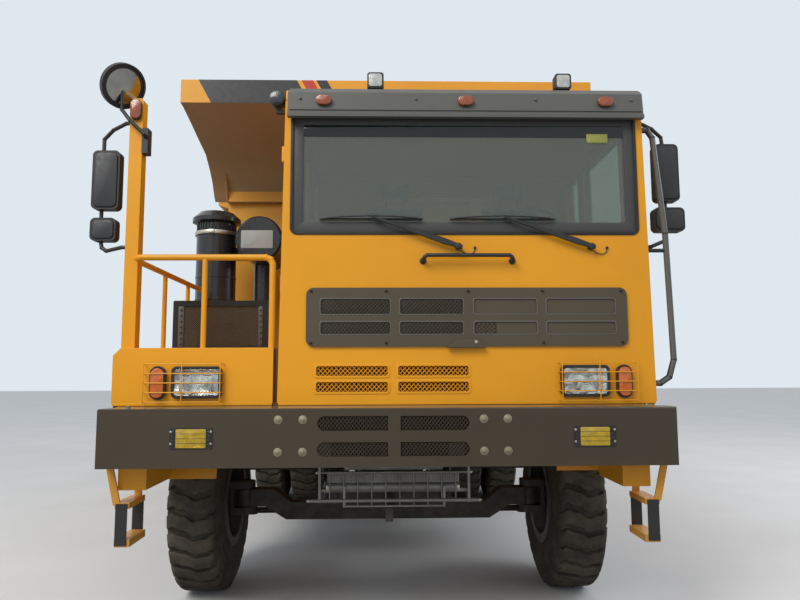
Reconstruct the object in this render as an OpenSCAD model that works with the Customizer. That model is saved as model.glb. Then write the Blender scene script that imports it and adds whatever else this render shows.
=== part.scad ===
// Wide-body mining dump truck, full size, in millimetres.
// X runs to the truck's left, Y from the bumper to the tail, Z up from the ground.
// Inside each sub-part, the second coordinate is the distance behind the bumper's face.

/* [Overall] */

// length from the bumper's face to the tail of the load body
overall_len = 8900; // [8400:10:9400]
// how far the mirrors stand out past the cab's side
mirror_out = 277; // [240:1:310]
// gap between pieces that move past each other
move_gap = 12; // [6:1:20]

/* [Wheels] */

// outer diameter of a tyre over its lugs
tyre_od = 1370; // [1300:5:1440]
// width of a tyre
tyre_w = 370; // [330:5:400]
// diameter of the rim's outer flange
rim_flange_d = 730; // [700:5:760]
// diameter of the rim's well
rim_well_d = 600; // [560:5:640]
// distance from the bumper's face to the front axle
front_axle_s = 1590; // [1500:5:1700]
// distance from the bumper's face to the middle axle
mid_axle_s = 5390; // [5200:5:5600]
// distance from the bumper's face to the rear axle
rear_axle_s = 6890; // [6700:5:7100]
// half the distance between the front wheels
front_track_half = 1385; // [1330:5:1420]
// half the distance between the middles of the twin wheels
twin_track_half = 1260; // [1200:5:1300]
// distance between the two tyres of a twin wheel
twin_pitch = 440; // [420:5:460]
// number of hand holes in a rim
hand_holes = 10; // [6:1:14]
// number of lugs round a tyre
tyre_lugs = 20; // [18:1:20]
// depth of the grooves between the lugs
groove_depth = 32; // [20:1:40]

/* [Front axle] */

// distance of the kingpins from the middle
kingpin_x = 1130; // [1100:5:1160]
// radius of the boss at each end of the axle beam
kingpin_boss_r = 68; // [55:1:75]
// height of the axle beam's ends
beam_end_h = 130; // [100:5:150]
// length of the steering arm behind the axle
steer_arm_len = 300; // [250:5:340]
// diameter of the tie rod
tie_rod_d = 60; // [45:1:80]

/* [Frame] */

// distance of a frame rail's outer face from the middle
rail_out = 430; // [400:5:460]
// width of a frame rail
rail_w = 90; // [70:5:110]
// height of the rails' lower edge
rail_z0 = 800; // [760:5:840]
// height of the rails' upper edge
rail_z1 = 1150; // [1100:5:1200]
// front end of the rails
rail_s0 = 620; // [600:5:700]
// rear end of the rails
rail_s1 = 7990; // [7900:5:8100]

/* [Bumper] */

// how far the bumper stands out past the cab's side
bumper_over = 77; // [60:1:100]
// height of the bumper's lower edge
bumper_z0 = 1120; // [1100:5:1150]
// height of the bumper's upper edge
bumper_z1 = 1457; // [1430:1:1480]
// depth of the bumper's flanges
bumper_depth = 180; // [120:5:220]
// thickness of the bumper's plate
bumper_t = 16; // [10:1:24]

/* [Cab] */

// front face of the cab
cab_s0 = 100; // [80:5:130]
// rear face of the cab
cab_s1 = 1800; // [1700:5:1900]
// side of the cab at the truck's left, at its foot
cab_x1 = 1603; // [1580:1:1630]
// side of the cab at the truck's right, at its foot
cab_x0 = -667; // [-700:1:-640]
// how far each side leans in at the top
cab_lean = 26; // [0:1:40]
// thickness of the cab's walls
cab_t = 60; // [40:5:80]
// lower edge of the cab's front
cab_z0 = 1485; // [1470:1:1500]
// height of the cab's floor
cab_floor_z = 1950; // [1900:5:2000]
// underside of the roof
cab_roof_z0 = 3340; // [3300:5:3360]
// top of the roof
cab_roof_z1 = 3412; // [3390:1:3450]
// lower edge of the doors
door_z0 = 2010; // [1980:5:2060]
// front edge of the doors
door_s0 = 290; // [260:5:320]
// rear edge of the left door
door_s1 = 1250; // [1200:5:1300]
// rear edge of the right door, clear of the radiator screen when it swings
door_right_s1 = 1055; // [1000:5:1060]
// gap round a door
door_gap = 8; // [6:1:12]
// windscreen, left, right, lower and upper edge of its outline
windscreen = [-592, 1524, 2510, 3250];
// width of the windscreen's dark border
windscreen_border = 72; // [50:1:90]
// thickness of the glass
glass_t = 8; // [6:1:12]

/* [Deck and fenders] */

// height of the deck's top
deck_z = 1840; // [1800:5:1880]
// outer side of the deck and fenders
deck_x = 1640; // [1600:5:1680]
// inner side of the deck
deck_in_x = 693; // [680:1:710]
// rear end of the deck
deck_s1 = 1950; // [1900:5:2000]
// thickness of the deck's sheets
deck_t = 20; // [12:1:30]
// radius of the right wheel arch
arch_r = 820; // [800:5:860]
// height of the right wheel arch's middle
arch_z = 860; // [840:5:900]
// radius of the left wheel arch, under the cab
arch_left_r = 900; // [860:5:940]
// height of the left wheel arch's middle
arch_left_z = 1045; // [1000:5:1080]
// inner side of the arches' liners
liner_in_x = 1170; // [1150:5:1200]
// inner side of the stepwells
well_in_x = 1470; // [1400:5:1490]
// front of the stepwells
well_s0 = 200; // [190:5:240]
// rear of the stepwells
well_s1 = 640; // [600:5:660]
// lower edge of the stepwells
well_z0 = 970; // [940:5:990]

/* [Load body] */

// front of the canopy
canopy_s0 = 1550; // [1450:5:1650]
// how far the canopy and the upper rails stand out past the load body's side
body_over = 135; // [100:5:160]
// top of the canopy
canopy_z1 = 4120; // [4050:5:4180]
// lower edge of the canopy's lip
canopy_z0 = 3915; // [3880:5:3950]
// front wall of the load space
bed_s0 = 2800; // [2700:5:2900]
// half the outer width between the inset side walls
bed_half = 1600; // [1560:5:1640]
// thickness of the side walls
bed_wall_t = 40; // [20:1:60]
// top of the floor
bed_floor_z = 1700; // [1680:5:1740]
// thickness of the floor
bed_floor_t = 50; // [30:1:70]
// top of the side rails
bed_rail_z1 = 3660; // [3600:5:3700]
// lower edge of the side rails
bed_rail_z0 = 3510; // [3480:5:3560]
// lower edge of the band below the side rails
bed_band_z0 = 3320; // [3250:5:3380]
// where the floor starts to rise
tail_s0 = 7000; // [6800:10:7300]
// how far the floor has risen at the tail
tail_rise = 600; // [400:10:800]
// slope at the foot of the side walls
bed_chamfer = 300; // [200:10:400]
// distance from the bumper's face to the hinge
hinge_s = 7800; // [7750:5:7850]
// height of the hinge
hinge_z = 1250; // [1230:5:1270]
// radius of the hinge pins
hinge_pin_r = 45; // [35:1:55]

/* [Hoist] */

// distance from the bumper's face to the cylinders' lower pins
hoist_base_s = 5960; // [5900:5:6020]
// height of the lower pins
hoist_base_z = 850; // [830:5:880]
// distance from the bumper's face to the upper pins
hoist_top_s = 5960; // [5900:5:6020]
// height of the upper pins
hoist_top_z = 1560; // [1550:5:1570]
// distance of the cylinders from the middle
hoist_x = 225; // [200:5:240]
// outer diameter of the barrels
hoist_barrel_d = 190; // [170:5:210]
// radius of the pins
hoist_pin_r = 32; // [25:1:40]

/* [Tanks and air cleaners] */

// inner side of the tanks
tank_x0 = 620; // [600:5:660]
// outer side of the front tanks
tank_x1 = 1450; // [1350:5:1500]
// outer side of the rear tanks
rear_tank_x1 = 1300; // [1200:5:1400]
// front end of the front tanks
tank_s0 = 2480; // [2470:5:2520]
// length of the front tanks
tank_len = 1020; // [900:10:1060]
// front end of the rear tanks
rear_tank_s0 = 3620; // [3600:5:3700]
// length of the rear tanks
rear_tank_len = 800; // [700:10:900]
// lower side of the tanks
tank_z0 = 770; // [740:5:820]
// upper side of the tanks
tank_z1 = 1400; // [1350:5:1430]
// middle of the upright air cleaner, from the middle of the truck
cleaner_x = 1545; // [1520:5:1560]
// middle of the upright air cleaner, from the bumper's face
cleaner_s = 2130; // [2100:5:2200]
// diameter of the upright air cleaner
cleaner_d = 350; // [320:5:380]
// diameter of its rain cap
cleaner_cap_d = 426; // [400:2:440]
// height of the cap's top
cleaner_z1 = 3122; // [3050:2:3180]
// middle of the lying housing, from the middle of the truck
housing_x = 1125; // [1110:5:1140]
// height of the lying housing's middle
housing_z = 2830; // [2800:5:2860]
// diameter of the lying housing
housing_d = 408; // [380:2:420]

/* [Seats and engine] */

// width of a seat
seat_w = 520; // [480:5:560]
// front edge of the seats
seat_s0 = 780; // [740:5:820]
// depth of a seat
seat_len = 520; // [480:5:560]
// height of a seat's back
seat_back_h = 600; // [540:10:680]
// half the width of the engine
engine_half = 325; // [300:5:330]
// front end of the engine
engine_s0 = 800; // [780:5:860]
// length of the engine
engine_len = 1650; // [1500:10:1700]
// underside of the engine
engine_z0 = 900; // [880:5:960]
// top of the engine
engine_z1 = 1720; // [1600:5:1730]

/* [Hidden] */

$fn = 48;

wheel_z = tyre_od / 2;
wheel_gap = 6;
seat_gap = 0.3;
pin_gap = 0.5;
stub_len = 60;
stub_d = 90;
rail_in = rail_out - rail_w;
cab_h = cab_roof_z1 - cab_z0;
bed_beam_z0 = rail_z1 + move_gap;
bed_under_z = bed_floor_z - bed_floor_t;
bed_seat_z = bed_under_z - seat_gap;
mirror_reach = cab_x1 + mirror_out;
bumper_half = cab_x1 + bumper_over;
body_half = bed_half + body_over;
tail_slope = tail_rise / (overall_len - tail_s0);
deck_top_z = deck_z - 28;

function lean(z) = cab_lean * (z - cab_z0) / cab_h;
function tail_under(s) = bed_seat_z + tail_slope * max(0, s - tail_s0);

module stand() translate([0, -overall_len / 2, 0]) children();
module box(x, s, z) translate([x[0], s[0], z[0]]) cube([x[1] - x[0], s[1] - s[0], z[1] - z[0]]);
module along_x(x, pts)
    translate([x[0], 0, 0]) rotate([90, 0, 90]) linear_extrude(height = x[1] - x[0]) polygon(pts);
module along_y(s, pts)
    translate([0, s[1], 0]) rotate([90, 0, 0]) linear_extrude(height = s[1] - s[0]) polygon(pts);
module along_z(z, pts) translate([0, 0, z[0]]) linear_extrude(height = z[1] - z[0]) polygon(pts);
module rod_x(x, s, z, d) translate([x[0], s, z]) rotate([0, 90, 0]) cylinder(h = x[1] - x[0], d = d);
module rod_y(x, s, z, d) translate([x, s[0], z]) rotate([-90, 0, 0]) cylinder(h = s[1] - s[0], d = d);
module rod_z(x, s, z, d) translate([x, s, z[0]]) cylinder(h = z[1] - z[0], d = d);
module rod(p, q, d) {
    v = q - p;
    translate(p) rotate([0, acos(v[2] / norm(v)), atan2(v[1], v[0])]) cylinder(h = norm(v), d = d);
}
module tube_path(pts, d) {
    for (i = [0 : len(pts) - 2]) rod(pts[i], pts[i + 1], d);
    for (i = [1 : len(pts) - 2]) translate(pts[i]) sphere(d = d + 2);
}
module round_rect(b, r) {
    translate([b[0] + r, b[2]]) square([b[1] - b[0] - 2 * r, b[3] - b[2]]);
    translate([b[0], b[2] + r]) square([b[1] - b[0], b[3] - b[2] - 2 * r]);
    for (x = [b[0] + r, b[1] - r])
        for (z = [b[2] + r, b[3] - r])
            translate([x, z]) circle(r);
}
module plate_y(b, s, r)
    translate([0, s[1], 0]) rotate([90, 0, 0]) linear_extrude(height = s[1] - s[0]) round_rect(b, r);
module both() {
    children();
    mirror([1, 0, 0]) children();
}
module side(left) {
    if (left) children();
    else mirror([1, 0, 0]) children();
}

// frame: rails, open to the outside
rail_recess = 30;
rail_flange = 24;
module frame_rails() stand() color("#3a3733") both() difference() {
    box([rail_in, rail_out], [rail_s0, rail_s1], [rail_z0, rail_z1]);
    box(
        [rail_out - rail_recess, rail_out + 5],
        [rail_s0 - 5, rail_s1 + 5],
        [rail_z0 + rail_flange, rail_z1 - rail_flange]
    );
}

// cross members, horns to the bumper, tow eyes and the hoist's lower pin
cross_tab = [
    // s0, s1, z0, z1
    [950, 1070, 820, 900],
    [2200, 2320, 820, 900],
    [640, 720, 820, 900],
    [3350, 3470, 1010, 1130],
    [4550, 4670, 950, 1130],
    [6380, 6500, 850, 1100],
    [7300, 7420, 850, 1100],
    [7870, 7990, 850, 1100]
];
horn_z1 = rail_z1 + 150;
front_plate = [575, 470, 560, 30];
tow_eye_s = 590;
tow_eye_z = 747;
tow_eye_r = 26;
tow_eye_t = 50;
rear_eye = [8140, 960];
tail_beam = [760, 70, 880, 1040];
tail_beam_s1 = rail_s1 + seat_gap + tail_beam[1];
module cross_members() stand() color("#3a3733") difference() {
    union() {
        for (c = cross_tab) box([-rail_in, rail_in], [c[0], c[1]], [c[2], c[3]]);
        both() box([rail_in, rail_out], [bumper_t, rail_s0 + 90], [rail_z1, horn_z1]);
        box(
            [-front_plate[0], front_plate[0]],
            [front_plate[1], front_plate[2]],
            [horn_z1 + seat_gap, horn_z1 + front_plate[3]]
        );
        rod_x([-rail_in, rail_in], hoist_base_s, hoist_base_z, hoist_pin_r * 2);
        box(
            [-tail_beam[0], tail_beam[0]],
            [rail_s1 + seat_gap, tail_beam_s1],
            [tail_beam[2], tail_beam[3]]
        );
        along_x([-tow_eye_t / 2, tow_eye_t / 2], [
            [tail_beam_s1 - 5, tail_beam[2] + 10],
            [rear_eye[0] + 20, tail_beam[2] + 10],
            [rear_eye[0] + 50, rear_eye[1] - 20],
            [rear_eye[0] + 50, rear_eye[1] + 20],
            [rear_eye[0] + 20, tail_beam[3] - 10],
            [tail_beam_s1 - 5, tail_beam[3] - 10]
        ]);
        along_x([-tow_eye_t / 2, tow_eye_t / 2], [
            [tow_eye_s + 50, 900],
            [tow_eye_s - 45, tow_eye_z + 40],
            [tow_eye_s - 45, tow_eye_z - 45],
            [tow_eye_s + 45, tow_eye_z - 45],
            [tow_eye_s + 110, 820],
            [tow_eye_s + 110, 900]
        ]);
    }
    rod_x([-60, 60], tow_eye_s, tow_eye_z, tow_eye_r * 2);
    rod_x([-60, 60], rear_eye[0], rear_eye[1], tow_eye_r * 2);
}

// brackets on the rails: bed pads, hinge pins, spring and tank carriers
bed_pads = [2900, 4300, 5700, 7100];
bed_pad_len = 160;
hinge_block = 100;
hinge_pin_len = 95;
trunnion_s = (mid_axle_s + rear_axle_s) / 2;
trunnion_ss = [trunnion_s - 90, trunnion_s + 90];
trunnion_z = [760, 1090];
spring_x = [565, 655];
tank_bracket_s = [2560, 3300, 3700, 4280];
module rail_brackets() stand() color("#3a3733") both() {
    for (s = bed_pads)
        box([rail_in + 10, rail_out - 10], [s, s + bed_pad_len], [rail_z1, bed_beam_z0 - seat_gap]);
    box([rail_in, rail_out], [hinge_s - hinge_block, hinge_s + hinge_block], [rail_z1, hinge_z + 90]);
    rod_x([rail_in, rail_out + hinge_pin_len], hinge_s, hinge_z, hinge_pin_r * 2);
    box([rail_out, spring_x[0]], trunnion_ss, [trunnion_z[0], trunnion_z[1]]);
    box([rail_out - rail_recess, rail_out + 5], trunnion_ss, [rail_z0 + rail_flange, trunnion_z[1]]);
    for (s = tank_bracket_s) box([rail_out - rail_recess, tank_x0], [s, s + 70], [900, 1060]);
}

// posts and arms that carry the deck and the cab
deck_posts = [740, 1700];
deck_post_w = 80;
deck_arm_x1 = 1150;
cab_post_x = [500, 600];
module deck_frames() stand() color("#3a3733") both() for (s = deck_posts) {
    box([rail_in + 5, rail_out], [s, s + deck_post_w], [rail_z1, deck_z - 100]);
    box([rail_in + 5, deck_arm_x1], [s, s + deck_post_w], [deck_z - 100, deck_z - 50]);
    box(cab_post_x, [s, s + deck_post_w], [deck_z - 50, cab_floor_z - cab_t]);
}

// bumper, folded, with slots and lamp openings
bumper_slots = [
    // x0, x1, z0, z1
    [-420, -11, 1326, 1411],
    [-420, -11, 1179, 1262],
    [62, 463, 1326, 1411],
    [62, 463, 1179, 1262]
];
fog_xs = [-1141, 1193];
fog_w = 242;
fog_z = [1230, 1348];
module slot(b, s) {
    r = (b[3] - b[2]) / 2;
    at_right = b[0] < 0;
    box([at_right ? b[0] + r : b[0], at_right ? b[1] : b[1] - r], s, [b[2], b[3]]);
    rod_y(at_right ? b[0] + r : b[1] - r, s, b[2] + r, 2 * r);
}
module front_bumper() stand() color("#4a4642") difference() {
    union() {
        box([-bumper_half, bumper_half], [0, bumper_t], [bumper_z0, bumper_z1]);
        box([-bumper_half, bumper_half], [0, bumper_depth], [bumper_z0, bumper_z0 + bumper_t]);
        box([-bumper_half, bumper_half], [0, bumper_depth], [bumper_z1 - bumper_t, bumper_z1]);
        both() box([bumper_half - bumper_t, bumper_half], [0, bumper_depth], [bumper_z0, bumper_z1]);
    }
    for (b = bumper_slots) slot(b, [-5, bumper_t + 5]);
    for (x = fog_xs) box([x - fog_w / 2, x + fog_w / 2], [-5, bumper_t + 5], fog_z);
}

// meshes behind the bumper's slots and in the cab's louvre slots
louvres = [
    // x0, x1, z0, z1
    [-439, -10, 1641, 1701],
    [-439, -10, 1546, 1607],
    [50, 474, 1641, 1701],
    [50, 474, 1546, 1607]
];
louvre_r = 14;
louvre_inset = 16;
mesh_t = 6;
module front_meshes() stand() color("#1c1b1a") {
    for (b = bumper_slots) slot(b, [bumper_t - mesh_t - 2, bumper_t - 2]);
    for (b = louvres) plate_y(b, [cab_s0 + louvre_inset, cab_s0 + louvre_inset + mesh_t], louvre_r);
}

// cab: front, sides, rear wall and floor
module cab_outline(s, z) along_y(s, [
    [cab_x0 + lean(z[0]), z[0]],
    [cab_x1 - lean(z[0]), z[0]],
    [cab_x1 - lean(z[1]), z[1]],
    [cab_x0 + lean(z[1]), z[1]]
]);
module cab_wall(left, s, z, t) along_y(s, left ? [
    [cab_x1 - lean(z[0]) - t, z[0]],
    [cab_x1 - lean(z[0]), z[0]],
    [cab_x1 - lean(z[1]), z[1]],
    [cab_x1 - lean(z[1]) - t, z[1]]
] : [
    [cab_x0 + lean(z[0]), z[0]],
    [cab_x0 + lean(z[0]) + t, z[0]],
    [cab_x0 + lean(z[1]) + t, z[1]],
    [cab_x0 + lean(z[1]), z[1]]
]);
quarter_s = [1310, 1650];
quarter_z = [2560, 3230];
rear_window = [0, 940, 2600, 3180];
pane_in = 30;
module rear_pane(s) box([rear_window[0], rear_window[1]], s, [rear_window[2], rear_window[3]]);
screen_r = 30;
door_z1 = 3290;
function door_end(left) = left ? door_s1 : door_right_s1;
module cab_shell() stand() color("#e8a52c") {
    cab_panels();
    for (left = [true, false]) cab_hinges(left);
}
module cab_panels() difference() {
    union() {
        cab_outline([cab_s0, cab_s0 + cab_t], [cab_z0, cab_roof_z0]);
        cab_outline([cab_s1 - cab_t, cab_s1], [cab_floor_z - cab_t, cab_roof_z0]);
        cab_outline([cab_s0, cab_s1], [cab_floor_z - cab_t, cab_floor_z]);
        for (left = [true, false])
            cab_wall(left, [cab_s0, cab_s1], [cab_floor_z - cab_t, cab_roof_z0], cab_t);
    }
    plate_y(windscreen, [cab_s0 - 5, cab_s0 + glass_t + 2], screen_r);
    box(
        [windscreen[0] + windscreen_border, windscreen[1] - windscreen_border],
        [cab_s0 - 5, cab_s0 + cab_t + 5],
        [windscreen[2] + windscreen_border / 2, windscreen[3] - windscreen_border]
    );
    for (b = louvres) plate_y(b, [cab_s0 - 5, cab_s0 + cab_t + 5], louvre_r);
    box([cab_x0 - 50, cab_x0 + 120], [door_s0, door_end(false)], [door_z0, door_z1]);
    box([cab_x1 - 120, cab_x1 + 50], [door_s0, door_end(true)], [door_z0, door_z1]);
    box([cab_x0 - 50, cab_x0 + 120], quarter_s, quarter_z);
    box([cab_x1 - 120, cab_x1 + 50], quarter_s, quarter_z);
    rear_pane([cab_s1 - cab_t - 5, cab_s1 + 5]);
}
module cab_roof() stand() color("#e8a52c") cab_outline([cab_s0, cab_s1 + 20], [cab_roof_z0, cab_roof_z1]);
module cab_glass() stand() color("#4f5650") {
    plate_y(windscreen, [cab_s0 + 2, cab_s0 + glass_t + 2], screen_r);
    rear_pane([cab_s1 - pane_in, cab_s1 - pane_in + glass_t]);
    for (left = [true, false]) intersection() {
        translate([left ? -20 : 20, 0, 0]) cab_wall(left, quarter_s, [cab_floor_z, cab_roof_z0], glass_t);
        box([cab_x0 - 50, cab_x1 + 50], quarter_s, quarter_z);
    }
}

// sun visor over the windscreen
visor_z1 = cab_roof_z1 + 16;
visor_pts = [
    // s, z
    [28, 3216],
    [66, 3216],
    [98, 3300],
    [100, 3300],
    [100, cab_roof_z1],
    [300, cab_roof_z1],
    [300, visor_z1],
    [140, visor_z1],
    [88, visor_z1 - 14],
    [56, visor_z1 - 50],
    [40, 3245],
    [28, 3238]
];
visor_x = [-622, 1573];
visor_r = 45;
module visor_block() along_x(visor_x, visor_pts);
module sun_visor() stand() color("#4a4642") intersection() {
    visor_block();
    plate_y([visor_x[0], visor_x[1], 3100, visor_z1], [0, 310], visor_r);
}

// dark panel in the cab's front, with two rows of pressed fields
grille_box = [-500, 1440, 1815, 2170];
grille_t = 14;
grille_r = 45;
field_xs = [[-416, 6], [60, 446], [506, 892], [946, 1368]];
field_zs = [[1887, 1965], [2007, 2104]];
field_depth = 7;
field_r = 12;
module grille_panel() stand() color("#45413d") difference() {
    plate_y(grille_box, [cab_s0 - grille_t, cab_s0], grille_r);
    for (x = field_xs) for (z = field_zs)
        plate_y([x[0], x[1], z[0], z[1]], [cab_s0 - grille_t - 5, cab_s0 - grille_t + field_depth], field_r);
}

// seats: driver at the left, second seat at the right
seat_xs = [980, 60];
seat_z = cab_floor_z + 330;
seat_pad_h = 130;
seat_back_s = seat_s0 + seat_len - 70;
module seats() stand() color("#2b2b2d") for (x = seat_xs) {
    box([x - 170, x + 170], [seat_s0 + 40, seat_s0 + 420], [cab_floor_z, seat_z]);
    box([x - seat_w / 2, x + seat_w / 2], [seat_s0, seat_s0 + seat_len], [seat_z, seat_z + seat_pad_h]);
    along_x([x - seat_w / 2, x + seat_w / 2], [
        [seat_back_s, seat_z + seat_pad_h],
        [seat_back_s + 120, seat_z + seat_pad_h],
        [seat_back_s + 220, seat_z + seat_pad_h + seat_back_h],
        [seat_back_s + 120, seat_z + seat_pad_h + seat_back_h]
    ]);
    along_x([x - 140, x + 140], [
        [seat_back_s + 135, seat_z + seat_pad_h + seat_back_h],
        [seat_back_s + 205, seat_z + seat_pad_h + seat_back_h],
        [seat_back_s + 230, seat_z + seat_pad_h + seat_back_h + 190],
        [seat_back_s + 160, seat_z + seat_pad_h + seat_back_h + 190]
    ]);
}

// dashboard with the steering wheel and its column
dash_pts = [
    // s, z
    [cab_s0 + cab_t, 2000],
    [420, 2000],
    [420, 2330],
    [560, 2400],
    [520, 2500],
    [cab_s0 + cab_t, 2500]
];
wheel_c = [980, 700, 2640];
steer_wheel_r = 240;
steer_tilt = 57;
module dashboard() stand() color("#29292b") {
    along_x([cab_x0 + 110, cab_x1 - 110], dash_pts);
    rod([wheel_c[0], 470, 2400], wheel_c, 60);
    translate(wheel_c) rotate([-90 + steer_tilt, 0, 0]) {
        rotate_extrude() translate([steer_wheel_r - 16, 0]) circle(d = 32);
        cylinder(h = 40, d = 120, center = true);
        for (a = [0, 120, 240]) rotate([0, 0, a]) translate([0, -15, -8]) cube([steer_wheel_r - 16, 30, 16]);
    }
}

// wipers and the grab handle below the windscreen
wipers_tab = [
    // pivot x, blade x0, blade x1
    [418, -446, 97],
    [1230, 252, 1018]
];
wiper_z = [2420, 2580];
handle_x = [216, 736];
handle_z = 2360;
module wipers() stand() color("#1d1c1b") {
    for (w = wipers_tab) {
        rod_y(w[0], [cab_s0 - 40, cab_s0], wiper_z[0], 50);
        rod([w[0], cab_s0 - 30, wiper_z[0]], [(w[1] + w[2]) / 2, cab_s0 - 24, wiper_z[1]], 16);
        box([w[1], w[2]], [cab_s0 - 34, cab_s0 + 2], [wiper_z[1] - 8, wiper_z[1] + 8]);
    }
    tube_path([
        [handle_x[0], cab_s0, handle_z],
        [handle_x[0], cab_s0 - 50, handle_z],
        [handle_x[1], cab_s0 - 50, handle_z],
        [handle_x[1], cab_s0, handle_z]
    ], 26);
}

// head, turn and fog lamps
headlamp_xs = [-1137, 1168];
headlamp_w = 290;
headlamp_z = [1516, 1700];
headlamp_r = 28;
turn_xs = [-1364, 1403];
turn_w = 90;
turn_z = [1508, 1702];
lamp_depth = 26;
lens_inset = 16;
lens_depth = 12;
module front_lamps() stand() color("#e6e2d8") {
    for (x = headlamp_xs) difference() {
        plate_y(
            [x - headlamp_w / 2, x + headlamp_w / 2, headlamp_z[0], headlamp_z[1]],
            [cab_s0 - lamp_depth, cab_s0],
            headlamp_r
        );
        plate_y(
            [
                x - headlamp_w / 2 + lens_inset, x + headlamp_w / 2 - lens_inset,
                headlamp_z[0] + lens_inset, headlamp_z[1] - lens_inset
            ],
            [cab_s0 - lamp_depth - 5, cab_s0 - lamp_depth + lens_depth],
            headlamp_r - lens_inset
        );
    }
    for (x = turn_xs) plate_y(
        [x - turn_w / 2, x + turn_w / 2, turn_z[0], turn_z[1]],
        [cab_s0 - lamp_depth, cab_s0],
        turn_w / 2 - 1
    );
    for (x = fog_xs) box([x - fog_w / 2, x + fog_w / 2], [4, bumper_t + 60], fog_z);
}

// work lamps on the roof, corner lamp, marker lamps, post lamp and tail lamps
roof_lamp_xs = [-85, 1120];
roof_lamp_s = [110, 175];
marker_xs = [-416, 470, 1380];
corner_lamp = [-698, 3366];
post_x = [1536, 1616];
post_s = [160, 240];
tail_lamp_x = 560;
module small_lamps() stand() color("#c8c4ba") {
    for (x = roof_lamp_xs) {
        plate_y([x - 52, x + 52, visor_z1 + 4, visor_z1 + 107], roof_lamp_s, 18);
        box([x - 15, x + 15], [140, 170], [visor_z1, visor_z1 + 10]);
    }
    for (x = marker_xs) difference() {
        plate_y([x - 46, x + 46, 3290, 3350], [24, 80], 28);
        visor_block();
    }
    rod_y(corner_lamp[0], [110, 200], corner_lamp[1], 98);
    box([corner_lamp[0] - 10, corner_lamp[0] + 10], [150, 180], [3280, corner_lamp[1] - 40]);
    box([corner_lamp[0] - 10, cab_x0 + lean(3280) - seat_gap], [150, 180], [3280, 3300]);
    plate_y([-post_x[1] + 6, -post_x[0] - 6, 3232, 3362], [post_s[0] - 24, post_s[0]], 32);
    both() plate_y(
        [tail_lamp_x - 110, tail_lamp_x + 110, tail_beam[2] + 20, tail_beam[3] - 20],
        [tail_beam_s1, tail_beam_s1 + 50],
        20
    );
}

// right side: deck, front panel, fender and stepwell
deck_chamfer = 45;
well_treads = [1190, 1400];
rear_edge_z = 1710;
arch_lip = [60, 12];
module side_plate(x, top, c_z, r, cut_z) difference() {
    along_y([cab_s0, deck_s1], [
        [x - deck_t, well_z0],
        [x, well_z0],
        [x, top - deck_chamfer],
        [x - deck_chamfer, top],
        [x - deck_chamfer - deck_t, top],
        [x - deck_t, top - deck_chamfer - deck_t / 2]
    ]);
    rod_x([x - 100, x + 100], front_axle_s, c_z, r * 2);
    box([x - 100, x + 100], [front_axle_s, deck_s1 + 100], [0, cut_z]);
    box([x - 100, x + 100], [0, well_s1], [0, cab_z0]);
}
module stepwell(z1) {
    box([well_in_x - deck_t, deck_x - deck_t], [well_s1, well_s1 + deck_t], [well_z0, z1]);
    box([well_in_x - deck_t, well_in_x], [well_s0, well_s1], [well_z0, z1]);
    box([well_in_x - deck_t, deck_x - deck_t], [well_s0, well_s0 + 12], [well_z0, well_z0 + 130]);
    box([well_in_x, deck_x - 40], [well_s0 + 5, well_s1], [well_z0, well_z0 + 30]);
    for (z = well_treads) box([well_in_x, deck_x - 40], [well_s0 + 80, well_s1], [z, z + 30]);
}
module arch_ring(c_z, r0, r1, x, cut_z) difference() {
    rod_x(x, front_axle_s, c_z, r1 * 2);
    rod_x([x[0] - 5, x[1] + 5], front_axle_s, c_z, r0 * 2);
    box([x[0] - 5, x[1] + 5], [front_axle_s, front_axle_s + r1 + 50], [0, 3000]);
    box([x[0] - 5, x[1] + 5], [0, front_axle_s + r1 + 50], [-100, cut_z]);
}
module arch(x, c_z, r, cut_z) {
    arch_ring(c_z, r, r + 16, [x + liner_in_x - deck_x, x - deck_t], cut_z);
    arch_ring(c_z, r, r + arch_lip[0], [x - deck_t, x + arch_lip[1]], cut_z);
}
module deck_right() stand() color("#e8a52c") mirror([1, 0, 0]) {
    box([deck_in_x, deck_x - deck_chamfer - 10], [cab_s0, deck_s1 + 560], [deck_z - 50, deck_top_z]);
    along_y([cab_s0, cab_s0 + deck_t], [
        [deck_in_x, cab_z0],
        [deck_x, cab_z0],
        [deck_x, deck_top_z - deck_chamfer],
        [deck_x - deck_chamfer, deck_top_z],
        [deck_in_x, deck_top_z]
    ]);
    side_plate(deck_x, deck_top_z, arch_z, arch_r, rear_edge_z);
    box([deck_x - deck_t, deck_x + arch_lip[1]], [front_axle_s, deck_s1], [rear_edge_z, rear_edge_z + 30]);
    stepwell(cab_z0);
    arch(deck_x, arch_z, arch_r, 950);
    box([well_in_x - deck_t, deck_x - deck_t], [cab_s0, well_s1 + deck_t], [cab_z0, cab_z0 + deck_t]);
}

// left side: skirt under the cab, fender and stepwell
skirt_z1 = cab_floor_z - cab_t - seat_gap;
module fender_left() stand() color("#e8a52c") {
    difference() {
        box([cab_x1 - deck_t, cab_x1], [cab_s0 + cab_t, 1700], [well_z0, skirt_z1]);
        rod_x([cab_x1 - 100, cab_x1 + 100], front_axle_s, arch_left_z, arch_left_r * 2);
        box([cab_x1 - 100, cab_x1 + 100], [front_axle_s, deck_s1 + 100], [0, skirt_z1 - 10]);
        box([cab_x1 - 100, cab_x1 + 100], [0, well_s1], [0, cab_floor_z - cab_t]);
    }
    translate([cab_x1 - deck_x, 0, 0]) stepwell(skirt_z1);
    difference() {
        arch(cab_x1, arch_left_z, arch_left_r, 1000);
        box([0, 2000], [0, 2000], [skirt_z1, 2200]);
    }
}

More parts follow.
